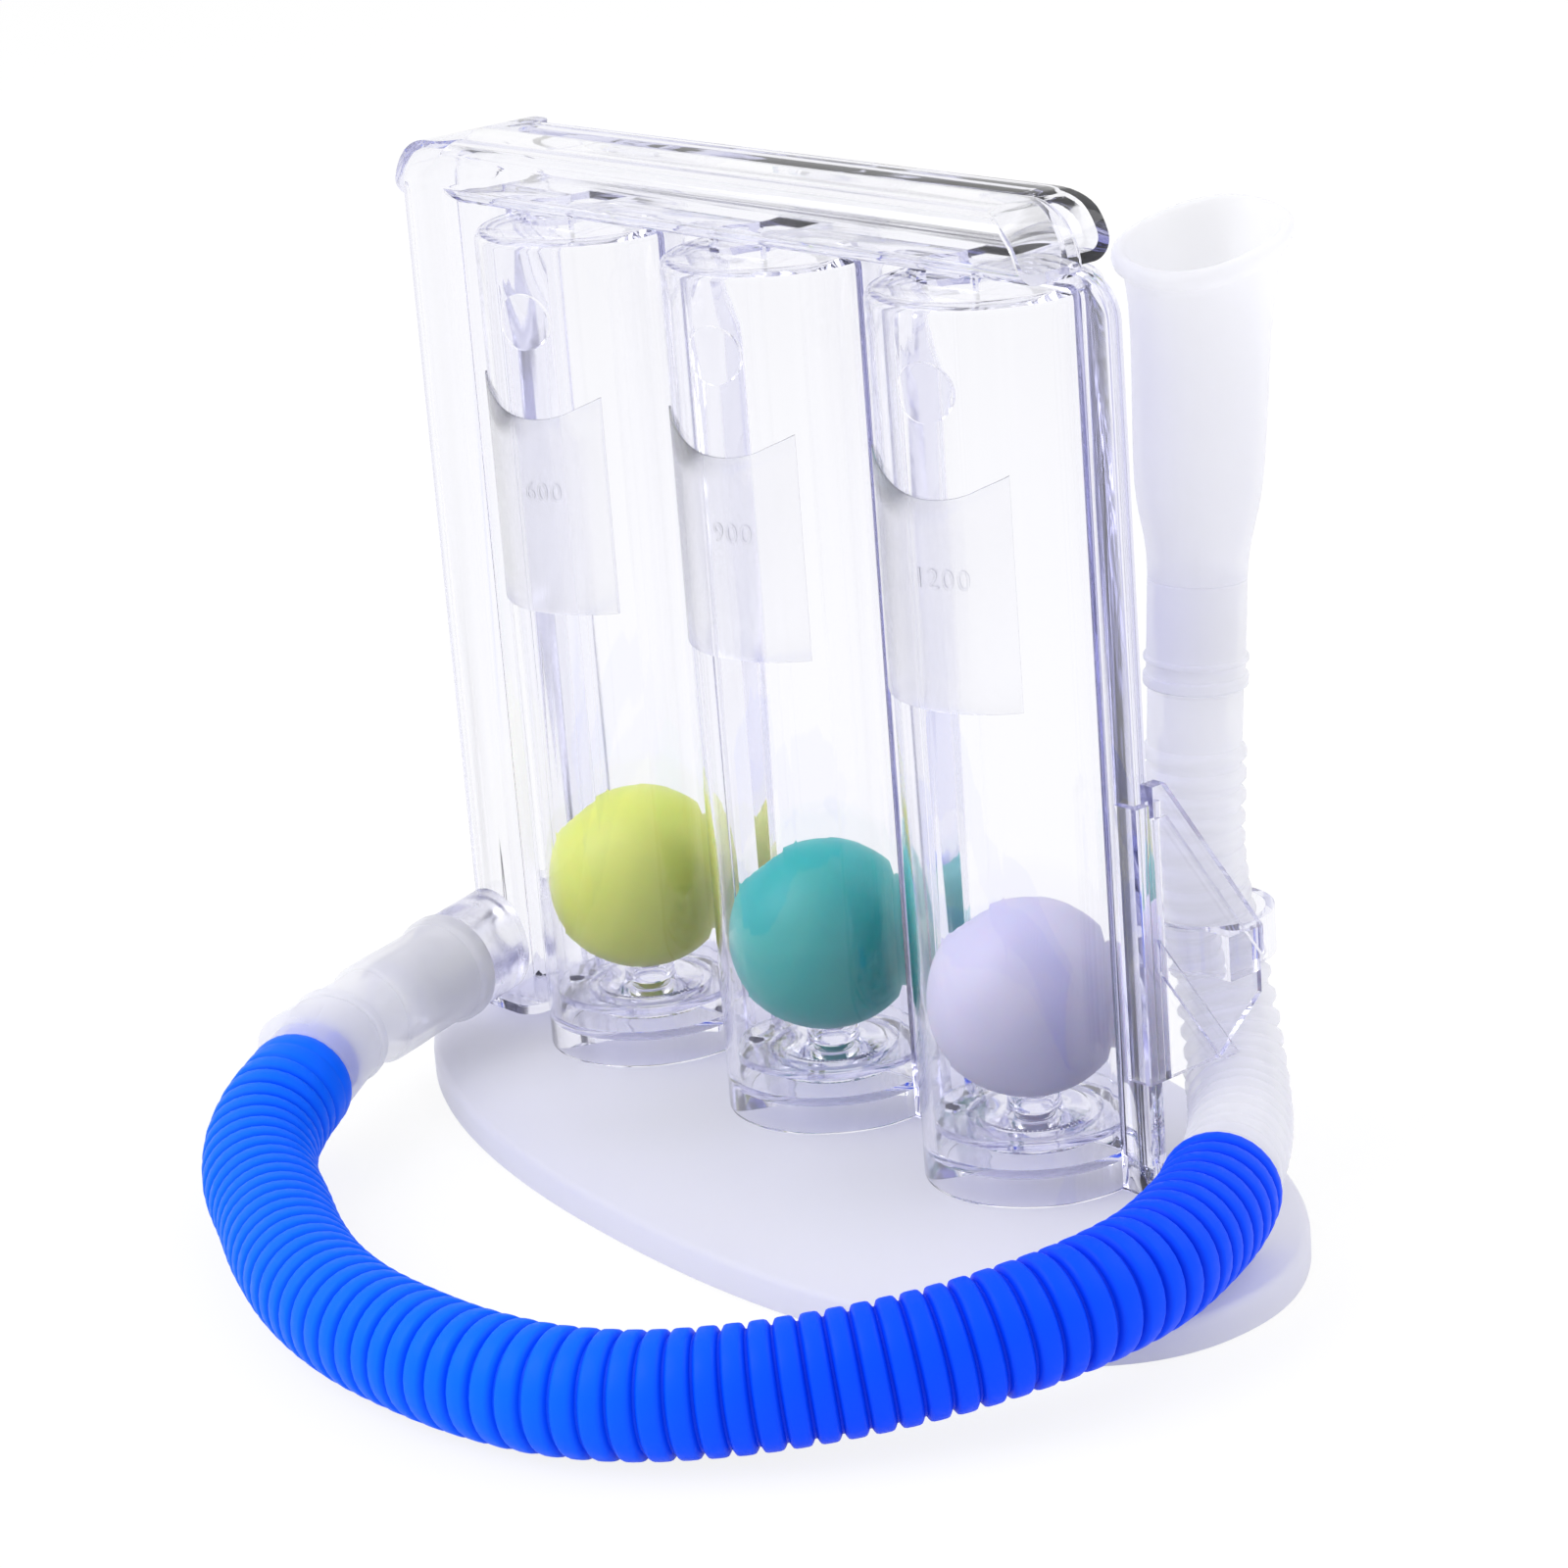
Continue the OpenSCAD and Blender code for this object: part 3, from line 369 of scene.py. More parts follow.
# Soft cuff on the port. Its far end is cut along the collar's tilted face.
cuffSettings = {
    "start": 10, "bead": 7.9, "beadEnd": 13.2, "beadRound": 0.9,
    "wide": 7.2, "waist": (16, 20), "swell": 0.1, "swellFrom": 24, "wideEnd": 29.5, "wideRound": 0.6,
    "narrow": 6.6, "end": 46, "sleeveBore": 4.8, "bore": 6.03, "stop": 24.03,
}
cuff = cuffSettings
swollen = cuff["wide"] + cuff["swell"]
portCuff = turned("port_sleeve", (
    roundCorner(cuff["bead"], cuff["start"], cuff["beadRound"], "bottom")
    + roundCorner(cuff["bead"], cuff["beadEnd"], cuff["beadRound"], "top")
    + [(cuff["wide"] + 0.12, cuff["beadEnd"] + 0.1), (cuff["wide"], cuff["beadEnd"] + 0.5)]
    + [(cuff["wide"], height) for height in cuff["waist"]] + [(swollen, cuff["swellFrom"])]
    + roundCorner(swollen, cuff["wideEnd"], cuff["wideRound"], "top")
    + [(cuff["narrow"] + 0.1, cuff["wideEnd"] + 0.15), (cuff["narrow"], cuff["wideEnd"] + 0.6)]
    + [(cuff["narrow"], cuff["end"]), (cuff["sleeveBore"], cuff["end"]), (cuff["sleeveBore"], cuff["stop"])]
    + [(cuff["bore"], cuff["stop"]), (cuff["bore"], cuff["start"])]), place=portPlace())
pick(portCuff)
bpy.ops.object.mode_set(mode="EDIT")
bpy.ops.mesh.select_all(action="SELECT")
bpy.ops.mesh.bisect(plane_co=collarPoint(-0.02), plane_no=collarPoint(1) - collarPoint(0),
                    clear_outer=True)
bridgeEnds()
bpy.ops.object.mode_set(mode="OBJECT")
tidyNormals(portCuff)
smooth(portCuff)
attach(portCuff, "trainer")
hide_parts("port_cuff")

# Collar between the cuff and the blue hose
sleeveSettings = {"rim": 7.3, "rimEnd": 1.8, "radius": 6.85, "waist": 6, "bore": 4.8, "socketBore": 5.93}
collar = {**collarSettings, **sleeveSettings}
hoseCollar = turned("collar_sleeve", (
    roundCorner(collar["rim"], 0, 0.4, "bottom") + roundCorner(collar["rim"], collar["rimEnd"], 0.5, "top")
    + [(collar["radius"] + 0.05, collar["rimEnd"] + 0.2), (collar["radius"], collar["rimEnd"] + 0.6)]
    + [(collar["radius"], collar["waist"])] + roundCorner(collar["radius"], collar["length"], 0.5, "top")
    + [(collar["socketBore"], collar["length"]), (collar["socketBore"], collar["socket"])]
    + [(collar["bore"], collar["socket"]), (collar["bore"], 0)]), place=collarPlace())
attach(hoseCollar, "trainer")
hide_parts("hose_collar")
print("port cuff and hose collar")

# Cuff under the mouthpiece, with two bands of [lower edge, upper edge, rounding]
mouthCuffSettings = {
    "bead": 6.7, "bands": ((0, 1.6, 0.35), (3.2, 4.0, 0.3)), "gap": 0.15, "radius": 6.3, "round": 0.3,
    "length": 14, "bore": 5.36, "stop": 6, "narrowBore": 4.0, "socket": 5.06,
}
sleeve = mouthCuffSettings
rings = []
for low, high, corner in sleeve["bands"]:
    if rings:
        rings.append((sleeve["radius"], low - sleeve["gap"]))
    rings += roundCorner(sleeve["bead"], low, corner, "bottom")
    rings += roundCorner(sleeve["bead"], high, corner, "top")
    rings.append((sleeve["radius"], high + sleeve["gap"]))
rings += roundCorner(sleeve["radius"], sleeve["length"], sleeve["round"], "top")
rings += [(sleeve["bore"], sleeve["length"]), (sleeve["bore"], sleeve["stop"])]
rings += [(sleeve["narrowBore"], sleeve["stop"]), (sleeve["narrowBore"], sleeve["stop"] - 0.1)]
rings += [(sleeve["socket"], sleeve["stop"] - 0.1), (sleeve["socket"], 0)]
mouthCuff = turned("mouth_sleeve", rings, place=mouthPlace())
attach(mouthCuff, "cuff")
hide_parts("mouth_cuff")

# Mouthpiece: rings of [height, half width, half length, squareness, share of the lip's rise]
mouthpieceSettings = {
    "lip": {"halfWidth": 8.9, "halfLength": 12.2, "rise": 2.6, "roll": 0.5},
    "outside": [
        (14.06, 6.3, 6.3, 2, 0), (15.4, 6.33, 6.36, 2, 0), (17, 6.4, 6.5, 2, 0), (18.8, 6.58, 6.8, 2.02, 0),
        (20.5, 6.8, 7.2, 2.05, 0), (22.5, 6.98, 7.8, 2.08, 0), (24.5, 7.1, 8.3, 2.1, 0),
        (27, 7.17, 8.68, 2.13, 0.02), (30, 7.2, 8.9, 2.15, 0.05), (33.5, 7.24, 9.0, 2.18, 0.1),
        (37, 7.3, 9.1, 2.2, 0.15), (40.5, 7.34, 9.23, 2.2, 0.24), (44, 7.4, 9.4, 2.2, 0.35),
        (47, 7.48, 9.61, 2.22, 0.47), (50, 7.6, 9.9, 2.25, 0.6), (52, 7.73, 10.2, 2.28, 0.73),
        (53.2, 7.83, 10.42, 2.29, 0.82),
        (54.2, 8.0, 10.8, 2.31, 0.88), (54.8, 8.25, 11.3, 2.35, 0.94), (55.3, 8.6, 11.85, 2.4, 1),
        (55.8, 8.8, 12.1, 2.4, 1), (56.3, 8.9, 12.2, 2.4, 1), (56.75, 8.88, 12.18, 2.4, 1),
        (57.1, 8.75, 12.05, 2.4, 1), (57.35, 8.52, 11.83, 2.4, 1), (57.45, 8.2, 11.5, 2.4, 1)],
    "inside": [
        (57.4, 7.85, 11.1, 2.38, 1), (57.15, 7.5, 10.75, 2.36, 1), (56.6, 7.3, 10.45, 2.33, 1),
        (55.6, 7.1, 10.1, 2.3, 0.97), (53.9, 6.8, 9.5, 2.3, 0.85), (50, 6.5, 8.8, 2.25, 0.6),
        (44, 6.3, 8.3, 2.2, 0.35), (37, 6.2, 8.0, 2.2, 0.15), (30, 6.1, 7.8, 2.15, 0.05),
        (24.5, 6.0, 7.2, 2.1, 0), (20.5, 5.7, 6.1, 2.05, 0), (17, 5.2, 5.3, 2, 0), (14.5, 4.4, 4.4, 2, 0),
        (13, 4.2, 4.2, 2, 0), (6.35, 4.2, 4.2, 2, 0), (6.3, 4.5, 4.5, 2, 0), (6.6, 5.3, 5.3, 2, 0),
        (14.0, 5.3, 5.3, 2, 0)],
}


def signedPower(value, power):
    return (-1 if value < 0 else 1) * abs(value) ** power


def lofted(name, sections, sides, lip, place):
    clearSelection()
    bpy.ops.mesh.primitive_circle_add(vertices=sides, radius=sections[0][1] * mm, fill_type="NOTHING")
    piece = bpy.context.object
    piece.name = name
    bpy.ops.object.mode_set(mode="EDIT")
    bpy.ops.mesh.select_all(action="SELECT")
    for lower, upper in zip(sections, sections[1:]):
        rise = (0, 0, (upper[0] - lower[0]) * mm)
        bpy.ops.mesh.extrude_region_move(TRANSFORM_OT_translate={"value": rise})
    bridgeEnds()
    bpy.ops.object.mode_set(mode="OBJECT")
    for index, vertex in enumerate(piece.data.vertices):    # each ring to its own rounded oval
        height, halfWidth, halfLength, square, lift = sections[index // sides]
        turn = atan2(vertex.co.y, vertex.co.x)
        x = halfWidth * signedPower(cos(turn), 2 / square)
        y = halfLength * signedPower(sin(turn), 2 / square)
        tilt = y / lip["halfLength"] - lip["roll"] * x / lip["halfWidth"]
        vertex.co = Vector((x, y, height + lip["rise"] * lift * tilt)) * mm
    piece.matrix_world = place
    settle(piece)
    tidyNormals(piece)
    smooth(piece, 40)
    return piece


mouthpiece = lofted("flared_mouthpiece", mouthpieceSettings["outside"] + mouthpieceSettings["inside"], 72,
                    mouthpieceSettings["lip"], mouthPlace())
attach(mouthpiece, "mouth")
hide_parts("mouthpiece")
print("mouth cuff and mouthpiece")

# Balls
ballSettings = {"radius": 13, "centre": 28}
balls = []
for index, (name, slotName) in enumerate((("left", "green_ball"), ("middle", "teal_ball"),
                                          ("right", "lilac_ball"))):
    clearSelection()
    bpy.ops.mesh.primitive_uv_sphere_add(
        segments=96, ring_count=64, radius=ballSettings["radius"] * mm,
        location=spot((index - 1) * tubePitch, 0, ballSettings["centre"]))
    ball = bpy.context.object
    ball.name = name + "_hollow_ball"
    settle(ball)
    smooth(ball, 60)
    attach(ball, name + "_ball")
    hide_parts("ball_" + name)
    balls.append(ball)
print("balls")

# Clear shells: copies of the two CAD shells, merged, eased apart at the weld and softened at the edges
shellSettings = {"seam": 2.0, "ease": 0.03, "edge": 0.22, "foot": 4.5}


def clearCopy(name, node):
    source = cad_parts[node]
    piece = bpy.data.objects.new(name, source.data.copy())
    bpy.context.collection.objects.link(piece)
    pick(piece)
    bpy.ops.object.mode_set(mode="EDIT")
    bpy.ops.mesh.select_all(action="SELECT")
    bpy.ops.mesh.remove_doubles(threshold=0.000002)
    bpy.ops.mesh.dissolve_limited(angle_limit=radians(0.6), delimit={"NORMAL"})
    bpy.ops.object.mode_set(mode="OBJECT")
    if piece.data.has_custom_normals:
        bpy.ops.mesh.customdata_custom_splitnormals_clear()
    return piece


shells = []
for name, node, way in (("front_clear_shell", "front_shell", -1), ("back_clear_shell", "back_shell", 1)):
    shell = clearCopy(name, node)
    seam = spot(0, shellSettings["seam"], 0).y
    for vertex in shell.data.vertices:
        if abs(vertex.co.y - seam) < 0.00001:
            vertex.co.y += way * shellSettings["ease"] * mm
        if abs(vertex.co.z - shellSettings["foot"] * mm) < 0.00001:
            vertex.co.z += shellSettings["ease"] * mm
    finishModifier(shell, "BEVEL", width=shellSettings["edge"] * mm, segments=2, limit_method="ANGLE",
                   angle_limit=radians(40), harden_normals=False)
    smooth(shell, 30)
    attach(shell, "trainer")
    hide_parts(node)
    shells.append(shell)
print("clear shells")

# Foot plate
footSettings = {
    "length": 166, "width": 81.4, "skew": 9.9, "square": 2.2, "centre": (5, -4), "sides": 160,
    "rings": ((1.7, 2.8), (1.7, 0.3), (1.4, 0.0), (0.4, 0.0), (0.1, 0.12), (0.0, 0.4), (0.0, 3.3),
              (0.08, 3.75), (0.3, 4.12), (0.65, 4.38), (1.1, 4.48)),    # distance in from the edge, height
}


def footEdge(inset, turn):
    plate = footSettings
    u = signedPower(cos(turn), 2 / plate["square"])
    v = signedPower(sin(turn), 2 / plate["square"])
    return (plate["centre"][0] + (plate["length"] / 2 - inset) * u,
            plate["centre"][1] + (plate["width"] / 2 - inset) * v - plate["skew"] * u)


def footPlate():
    sides, rings = footSettings["sides"], footSettings["rings"]
    clearSelection()
    bpy.ops.mesh.primitive_circle_add(vertices=sides, radius=0.08, fill_type="NOTHING")
    foot = bpy.context.object
    foot.name = "oval_foot"
    bpy.ops.object.mode_set(mode="EDIT")
    bpy.ops.mesh.select_all(action="SELECT")
    for ring in rings[1:]:
        bpy.ops.mesh.extrude_region_move(TRANSFORM_OT_translate={"value": (0, 0, mm)})
    bpy.ops.mesh.select_all(action="DESELECT")
    bpy.ops.mesh.select_mode(type="EDGE")
    bpy.ops.mesh.select_non_manifold()
    bpy.ops.mesh.edge_face_add()
    bpy.ops.mesh.select_mode(type="VERT")
    bpy.ops.object.mode_set(mode="OBJECT")
    for index, vertex in enumerate(foot.data.vertices):    # each ring to its own place on the oval
        inset, height = rings[index // sides]
        vertex.co = spot(*footEdge(inset, atan2(vertex.co.y, vertex.co.x)), height)
    return foot


foot = footPlate()
tidyNormals(foot)
smooth(foot)
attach(foot, "trainer")
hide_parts("foot_plate")
print("foot plate")

# Seats under the balls: a thin floor across the tube, a ring for the ball and a vent beside it
seatSettings = {
    "radius": 13.3, "under": 11.9, "top": 13, "base": 8.5, "foot": 9.5, "ring": 3.5, "bore": 2.5,
    "tip": 15.2, "wall": 1.2, "vent": 1.2, "ventAway": 10.6, "ventTurn": 223,
}
seats = []
for index, name in enumerate(("left", "middle", "right")):
    form = seatSettings
    inside = form["top"] - form["wall"]
    seat = turned(name + "_ball_seat", (
        [(form["base"], form["foot"]), (form["base"], form["under"] - 0.4)]
        + [(form["base"] + 0.3, form["under"]), (form["radius"] - 0.3, form["under"])]
        + [(form["radius"], form["under"] + 0.3)]
        + roundCorner(form["radius"], form["top"], 0.35, "top")
        + [(form["ring"] + 0.5, form["top"]), (form["ring"] + 0.15, form["top"] + 0.12)]
        + [(form["ring"], form["top"] + 0.5)] + roundCorner(form["ring"], form["tip"], 0.25, "top")
        + [(form["bore"] + 0.15, form["tip"]), (form["bore"], form["tip"] - 0.15), (form["bore"], inside)]
        + [(form["base"] - form["wall"], inside), (form["base"] - form["wall"], form["foot"])]))
    clearSelection()
    ventTurn = radians(form["ventTurn"])
    ventPlace = Vector((form["ventAway"] * cos(ventTurn), form["ventAway"] * sin(ventTurn),
                        form["top"] - form["wall"] / 2))
    bpy.ops.mesh.primitive_cylinder_add(vertices=24, radius=form["vent"] * mm, depth=3 * form["wall"] * mm,
                                        location=ventPlace * mm)
    vent = bpy.context.object
    settle(vent)
    finishModifier(seat, "BOOLEAN", object=vent, operation="DIFFERENCE", solver="EXACT")
    bpy.data.objects.remove(vent)
    seat.matrix_world = Matrix.Translation(spot((index - 1) * tubePitch, 0, 0))
    settle(seat)
    smooth(seat)
    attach(seat, "trainer")
    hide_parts("seat_" + name)
    seats.append(seat)
print("ball seats")

# Labels: thin sheets bent to the tubes, with a curved top edge
labelSettings = {
    "left": -10.7, "right": 13.7, "bottom": 70, "radius": 14.72, "thick": 0.27, "columns": 40, "rows": 6,
    "bevel": 0.06,
    "top": ((-10.7, 101.3), (-8.5, 100.4), (-6.3, 99.5), (-4.3, 98.6), (-2.4, 97.8), (-0.6, 97.3),
            (1.2, 97.0), (3.0, 96.85), (4.7, 96.9), (6.0, 97.05), (7.3, 97.3), (8.9, 97.8),
            (10.4, 98.5), (12.0, 99.1), (13.7, 99.8)),    # arc from the front, height
}


def edgeHeight(arc):
    for (arcA, heightA), (arcB, heightB) in zip(labelSettings["top"], labelSettings["top"][1:]):
        if arc <= arcB:
            return heightA + (heightB - heightA) * (arc - arcA) / (arcB - arcA)
    return labelSettings["top"][-1][1]


labels = []
for index, name in enumerate(("left", "middle", "right")):
    form = labelSettings
    clearSelection()
    bpy.ops.mesh.primitive_grid_add(x_subdivisions=form["columns"], y_subdivisions=form["rows"], size=2)
    label = bpy.context.object
    label.name = name + "_label_sheet"
    for vertex in label.data.vertices:
        arc = form["left"] + (form["right"] - form["left"]) * (vertex.co.x + 1) / 2
        height = form["bottom"] + (edgeHeight(arc) - form["bottom"]) * (vertex.co.y + 1) / 2
        turn = arc / form["radius"]
        vertex.co = spot((index - 1) * tubePitch + form["radius"] * sin(turn),
                         -form["radius"] * cos(turn), height)
    tidyNormals(label)
    middle = spot((index - 1) * tubePitch, 0, form["bottom"])
    face = label.data.polygons[0]
    if face.normal.dot(face.center - middle) < 0:
        pick(label)
        bpy.ops.object.mode_set(mode="EDIT")
        bpy.ops.mesh.select_all(action="SELECT")
        bpy.ops.mesh.flip_normals()
        bpy.ops.object.mode_set(mode="OBJECT")
    finishModifier(label, "SOLIDIFY", thickness=form["thick"] * mm, offset=1.0)
    finishModifier(label, "BEVEL", width=form["bevel"] * mm, segments=2, limit_method="ANGLE",
                   angle_limit=radians(50))
    smooth(label, 30)
    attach(label, "trainer")
    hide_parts("label_" + name)
    labels.append(label)
print("labels")

# Generic numbers on the labels, bent to the tubes
numberSettings = {
    "texts": ("600", "900", "1200"), "size": 3.6, "height": 85.8, "arc": 4.5, "radius": 15.02, "raise": 0.12,
    "cuts": 12, "cutStep": 1.1,
}
numbers = []
for index, text in enumerate(numberSettings["texts"]):
    form = numberSettings
    clearSelection()
    bpy.ops.object.text_add(location=(0, 0, 0))
    number = bpy.context.object
    number.name = "number_" + text
    number.data.body = text
    number.data.size = form["size"] * mm
    number.data.align_x = "CENTER"
    number.data.extrude = form["raise"] / 2 * mm
    number.data.resolution_u = 6
    number.data.space_character = 1.15
    pick(number)
    bpy.ops.object.convert(target="MESH")
    bpy.ops.object.mode_set(mode="EDIT")
    bpy.ops.mesh.select_all(action="SELECT")
    bpy.ops.mesh.quads_convert_to_tris()
    for k in range(form["cuts"]):    # cuts up and down the figures, so that they bend
        x = (k - (form["cuts"] - 1) / 2) * form["cutStep"]
        bpy.ops.mesh.select_all(action="SELECT")
        bpy.ops.mesh.bisect(plane_co=(x * mm, 0, 0), plane_no=(1, 0, 0))
    bpy.ops.object.mode_set(mode="OBJECT")
    for vertex in number.data.vertices:
        turn = (vertex.co.x / mm + form["arc"]) / form["radius"]
        reach = form["radius"] + vertex.co.z / mm
        vertex.co = spot((index - 1) * tubePitch + reach * sin(turn), -reach * cos(turn),
                         form["height"] + vertex.co.y / mm)
    tidyNormals(number)
    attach(number, "trainer")
    numbers.append(number)
print("numbers")


# Materials
def blank(name):
    material = bpy.data.materials.new(name)
    material.use_nodes = True
    nodes, links = material.node_tree.nodes, material.node_tree.links
    shader = nodes["Principled BSDF"]
    return material, nodes, links, shader


def grainBump(nodes, links, shader, scale, detail, strength, distance, stretch=(1, 1, 1)):
    place = nodes.new("ShaderNodeTexCoord")
    mapping = nodes.new("ShaderNodeMapping")
    mapping.inputs["Scale"].default_value = stretch
    links.new(place.outputs["Object"], mapping.inputs["Vector"])
    noise = nodes.new("ShaderNodeTexNoise")
    noise.inputs["Scale"].default_value = scale
    noise.inputs["Detail"].default_value = detail
    links.new(mapping.outputs["Vector"], noise.inputs["Vector"])
    bump = nodes.new("ShaderNodeBump")
    bump.inputs["Strength"].default_value = strength
    bump.inputs["Distance"].default_value = distance
    links.new(noise.outputs["Fac"], bump.inputs["Height"])
    links.new(bump.outputs["Normal"], shader.inputs["Normal"])
    return noise


# The middle of the noise's range drives a value from low to high
def varied(nodes, links, noise, target, low, high):
    spread = nodes.new("ShaderNodeMapRange")
    spread.inputs["From Min"].default_value = 0.3
    spread.inputs["From Max"].default_value = 0.7
    spread.inputs["To Min"].default_value = low
    spread.inputs["To Max"].default_value = high
    links.new(noise.outputs["Fac"], spread.inputs["Value"])
    links.new(spread.outputs["Result"], target)


clearSettings = {
    "tint": (0.99, 0.99, 1.0), "ior": 1.47, "rough": (0.0, 0.06),
    "inside": (0.70, 0.70, 0.88), "depth": 42.0, "waves": 55.0, "waveDepth": 0.00008,
    "shadow": (0.82, 0.82, 0.93),
}


def clearPlastic(name, settings):
    material, nodes, links, shader = blank(name)
    shader.inputs["Base Color"].default_value = (*settings["tint"], 1)
    shader.inputs["Transmission Weight"].default_value = 1.0
    shader.inputs["IOR"].default_value = settings["ior"]
    noise = grainBump(nodes, links, shader, scale=settings["waves"], detail=2.0, strength=0.25,
                      distance=settings["waveDepth"], stretch=(1, 1, 0.35))
    varied(nodes, links, noise, shader.inputs["Roughness"], *settings["rough"])
    volume = nodes.new("ShaderNodeVolumeAbsorption")
    volume.inputs["Color"].default_value = (*settings["inside"], 1)
    volume.inputs["Density"].default_value = settings["depth"]
    output = nodes["Material Output"]
    links.new(volume.outputs["Volume"], output.inputs["Volume"])
    # Lamps shine through the clear plastic
    path = nodes.new("ShaderNodeLightPath")
    letThrough = nodes.new("ShaderNodeBsdfTransparent")
    letThrough.inputs["Color"].default_value = (*settings["shadow"], 1)
    both = nodes.new("ShaderNodeMixShader")
    links.new(path.outputs["Is Shadow Ray"], both.inputs["Fac"])
    links.new(shader.outputs["BSDF"], both.inputs[1])
    links.new(letThrough.outputs["BSDF"], both.inputs[2])
    links.new(both.outputs["Shader"], output.inputs["Surface"])
    return material


frostedSettings = {
    "colour": (0.98, 0.98, 0.995), "through": 0.3, "rough": (0.3, 0.42), "ior": 1.4,
    "glow": 0.4, "clear": 0.4, "haze": (0.975, 0.975, 0.99), "grain": 900.0,
}


def frostedPlastic(name, settings):
    material, nodes, links, shader = blank(name)
    shader.inputs["Base Color"].default_value = (*settings["colour"], 1)
    shader.inputs["Transmission Weight"].default_value = settings["through"]
    shader.inputs["IOR"].default_value = settings["ior"]
    noise = grainBump(nodes, links, shader, scale=settings["grain"], detail=3.0, strength=0.06,
                      distance=0.00001)
    varied(nodes, links, noise, shader.inputs["Roughness"], *settings["rough"])
    # Some light comes through the milky plastic from behind, and some passes it unscattered
    glow = nodes.new("ShaderNodeBsdfTranslucent")
    glow.inputs["Color"].default_value = (*settings["colour"], 1)
    plain = nodes.new("ShaderNodeBsdfTransparent")
    plain.inputs["Color"].default_value = (*settings["haze"], 1)
    milk = nodes.new("ShaderNodeMixShader")
    milk.inputs["Fac"].default_value = settings["glow"]
    links.new(shader.outputs["BSDF"], milk.inputs[1])
    links.new(glow.outputs["BSDF"], milk.inputs[2])
    both = nodes.new("ShaderNodeMixShader")
    both.inputs["Fac"].default_value = settings["clear"]
    links.new(milk.outputs["Shader"], both.inputs[1])
    links.new(plain.outputs["BSDF"], both.inputs[2])
    links.new(both.outputs["Shader"], nodes["Material Output"].inputs["Surface"])
    return material


blueSettings = {
    # the groove colours are painted shade, a darker blue laid into the grooves between the ribs; the crest
    # colours are the hose's blue
    "crest": (0.0, 0.13, 0.97), "grooveShade": (0.0, 0.085, 0.85),
    "crestRight": (0.0, 0.066, 0.93), "grooveShadeRight": (0.0, 0.035, 0.7),
    "turnsAt": (0.035, 0.075),    # in the frame's x, metres
    "rough": (0.4, 0.52), "gloss": 0.08,
}


def bluePlastic():
    material, nodes, links, shader = blank("blueHose")
    crest = nodes.new("ShaderNodeAttribute")
    crest.attribute_name = "crest"
    noise = grainBump(nodes, links, shader, scale=700.0, detail=3.0, strength=0.12, distance=0.00006)
    place = nodes.new("ShaderNodeTexCoord")
    axes = nodes.new("ShaderNodeSeparateXYZ")
    links.new(place.outputs["Object"], axes.inputs[0])
    toRight = nodes.new("ShaderNodeMapRange")    # the hose is a deeper blue towards its right end
    toRight.interpolation_type = "SMOOTHSTEP"
    toRight.inputs["From Min"].default_value = blueSettings["turnsAt"][0]
    toRight.inputs["From Max"].default_value = blueSettings["turnsAt"][1]
    links.new(axes.outputs["X"], toRight.inputs["Value"])
    tones = []
    for left, right in (("grooveShade", "grooveShadeRight"), ("crest", "crestRight")):
        tone = nodes.new("ShaderNodeMix")
        tone.data_type = "RGBA"
        links.new(toRight.outputs["Result"], tone.inputs["Factor"])
        tone.inputs[6].default_value = (*blueSettings[left], 1)
        tone.inputs[7].default_value = (*blueSettings[right], 1)
        tones.append(tone)
    # Painted shade: the crest attribute mixes the darker groove colour into the grooves, the neck and the
    # bore
    blueWithGrooveShade = nodes.new("ShaderNodeMix")
    blueWithGrooveShade.data_type = "RGBA"
    links.new(crest.outputs["Fac"], blueWithGrooveShade.inputs["Factor"])
    links.new(tones[0].outputs[2], blueWithGrooveShade.inputs[6])
    links.new(tones[1].outputs[2], blueWithGrooveShade.inputs[7])
    links.new(blueWithGrooveShade.outputs[2], shader.inputs["Base Color"])
    varied(nodes, links, noise, shader.inputs["Roughness"], *blueSettings["rough"])
    shader.inputs["Specular IOR Level"].default_value = blueSettings["gloss"]
    return material


ballColours = {
    "green": {"colour": (0.75, 0.81, 0.15), "edge": (0.67, 0.76, 0.10)},
    "teal": {"colour": (0.012, 0.45, 0.385), "edge": (0.006, 0.40, 0.345)},
    "lilac": {"colour": (0.67, 0.65, 0.76), "edge": (0.63, 0.61, 0.74)},
}


def ballPlastic(name, settings):
    material, nodes, links, shader = blank(name)
    noise = grainBump(nodes, links, shader, scale=160.0, detail=4.0, strength=0.1, distance=0.0001)
    mix = nodes.new("ShaderNodeMix")
    mix.data_type = "RGBA"
    links.new(noise.outputs["Fac"], mix.inputs["Factor"])
    mix.inputs[6].default_value = (*settings["edge"], 1)
    mix.inputs[7].default_value = (*settings["colour"], 1)
    links.new(mix.outputs[2], shader.inputs["Base Color"])
    varied(nodes, links, noise, shader.inputs["Roughness"], 0.32, 0.44)
    shader.inputs["Specular IOR Level"].default_value = 0.3
    shader.inputs["Subsurface Weight"].default_value = 0.25
    shader.inputs["Subsurface Scale"].default_value = 0.002
    return material


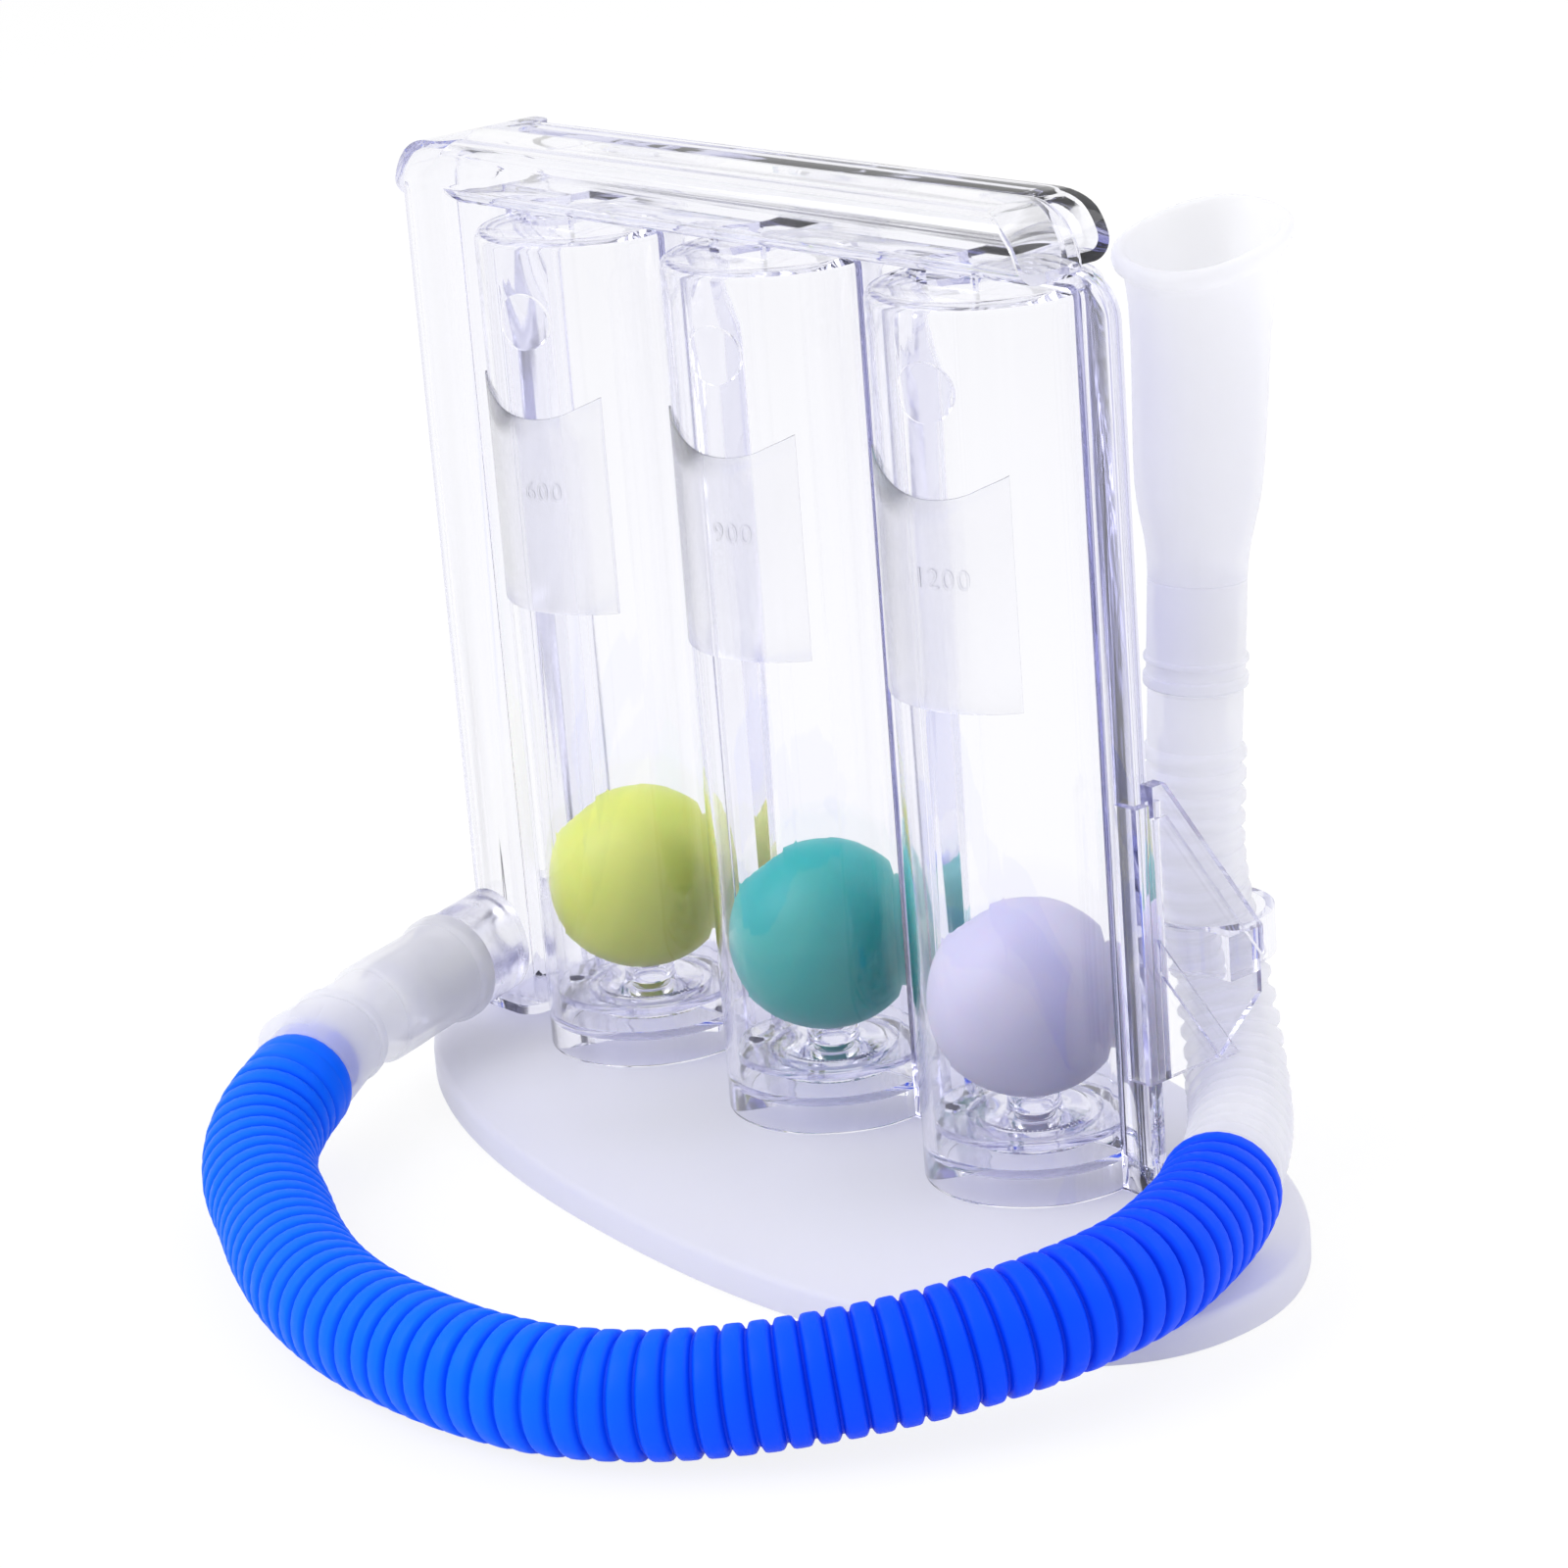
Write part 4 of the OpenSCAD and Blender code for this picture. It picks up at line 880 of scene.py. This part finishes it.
clearShell = clearPlastic("clearShell", clearSettings)
clearWing = clearPlastic("clearWing", {**clearSettings, "depth": 55.0})
clearSeat = clearPlastic("clearSeat", {**clearSettings, "depth": 45.0})
clearLabel = clearPlastic("clearLabel", {**clearSettings, "rough": (0.12, 0.25), "depth": 30.0})
clearPort = clearPlastic("clearPort", {**clearSettings, "rough": (0.1, 0.3), "waves": 260.0,
                                       "waveDepth": 0.0004})
frostedFoot = frostedPlastic("frostedFoot", {**frostedSettings, "colour": (0.85, 0.85, 0.915),
                                             "through": 0.2, "clear": 0.1, "grain": 500.0})
frostedSleeve = frostedPlastic("frostedSleeve", frostedSettings)
frostedHose = frostedPlastic("frostedHose", {**frostedSettings, "clear": 0.5})
frostedMouth = frostedPlastic("frostedMouth", {**frostedSettings, "clear": 0.42})
dress(blueHose, bluePlastic())
dress(clearHose, frostedHose)
dress(portCuff, frostedSleeve)
dress(hoseCollar, frostedSleeve)
dress(mouthCuff, frostedSleeve)
dress(mouthpiece, frostedMouth)
dress(foot, frostedFoot)
for ball, key in zip(balls, ("green", "teal", "lilac")):
    dress(ball, ballPlastic(key + "Ball", ballColours[key]))
for seat in seats:
    dress(seat, clearSeat)
for piece in labels + numbers:
    dress(piece, clearLabel)
for shell in shells:
    dress(shell, clearShell)
for node, material in (("holder_wing", clearWing), ("hose_port", clearPort)):
    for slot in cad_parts[node].material_slots:
        slot.material = material
print("materials")

# Floor, world and lamps. What the camera, gloss and clear plastic show of the surroundings is white.
stageSettings = {"floor": 0.95, "shine": 0.86, "ambient": 0.9}


def pathShare(nodes, links):
    path = nodes.new("ShaderNodeLightPath")
    first = nodes.new("ShaderNodeMath")
    first.operation = "MAXIMUM"
    second = nodes.new("ShaderNodeMath")
    second.operation = "MAXIMUM"
    links.new(path.outputs["Is Camera Ray"], first.inputs[0])
    links.new(path.outputs["Is Glossy Ray"], first.inputs[1])
    links.new(first.outputs[0], second.inputs[0])
    links.new(path.outputs["Is Transmission Ray"], second.inputs[1])
    return second.outputs[0]


clearSelection()
bpy.ops.mesh.primitive_plane_add(size=6, location=(0, 0, -0.0002))
floor = bpy.context.object
floor.name = "floor"
settle(floor)
floorMaterial, nodes, links, shader = blank("paleFloor")
shader.inputs["Base Color"].default_value = (stageSettings["floor"],) * 3 + (1,)
shader.inputs["Roughness"].default_value = 0.9
shader.inputs["Specular IOR Level"].default_value = 0.0
white = nodes.new("ShaderNodeEmission")
white.inputs["Strength"].default_value = 1.0
share = nodes.new("ShaderNodeMath")
share.operation = "MULTIPLY"
share.inputs[1].default_value = stageSettings["shine"]
links.new(pathShare(nodes, links), share.inputs[0])
mixed = nodes.new("ShaderNodeMixShader")
links.new(share.outputs[0], mixed.inputs["Fac"])
links.new(shader.outputs["BSDF"], mixed.inputs[1])
links.new(white.outputs["Emission"], mixed.inputs[2])
links.new(mixed.outputs["Shader"], nodes["Material Output"].inputs["Surface"])
dress(floor, floorMaterial)

world = bpy.data.worlds.new("studio")
bpy.context.scene.world = world
world.use_nodes = True
nodes, links = world.node_tree.nodes, world.node_tree.links
background = nodes["Background"]
background.inputs["Color"].default_value = (1, 1, 1, 1)
strength = nodes.new("ShaderNodeMapRange")
strength.inputs["To Min"].default_value = stageSettings["ambient"]
strength.inputs["To Max"].default_value = 1.0
links.new(pathShare(nodes, links), strength.inputs["Value"])
links.new(strength.outputs["Result"], background.inputs["Strength"])

lampSettings = (
    {"name": "keySoftbox", "place": (-0.35, -0.75, 0.95), "size": 0.9, "power": 8.0},
    {"name": "backSoftbox", "place": (0.5, 0.7, 0.9), "size": 0.9, "power": 3.5},
)
for settings in lampSettings:
    lampData = bpy.data.lights.new(settings["name"], "AREA")
    lampData.shape = "SQUARE"
    lampData.size = settings["size"]
    lampData.energy = settings["power"]
    lamp = bpy.data.objects.new(settings["name"], lampData)
    bpy.context.collection.objects.link(lamp)
    lamp.location = settings["place"]
    lamp.rotation_euler = (Vector((0, 0, 0.06)) - lamp.location).to_track_quat("-Z", "Y").to_euler()
print("floor, world and lamps")
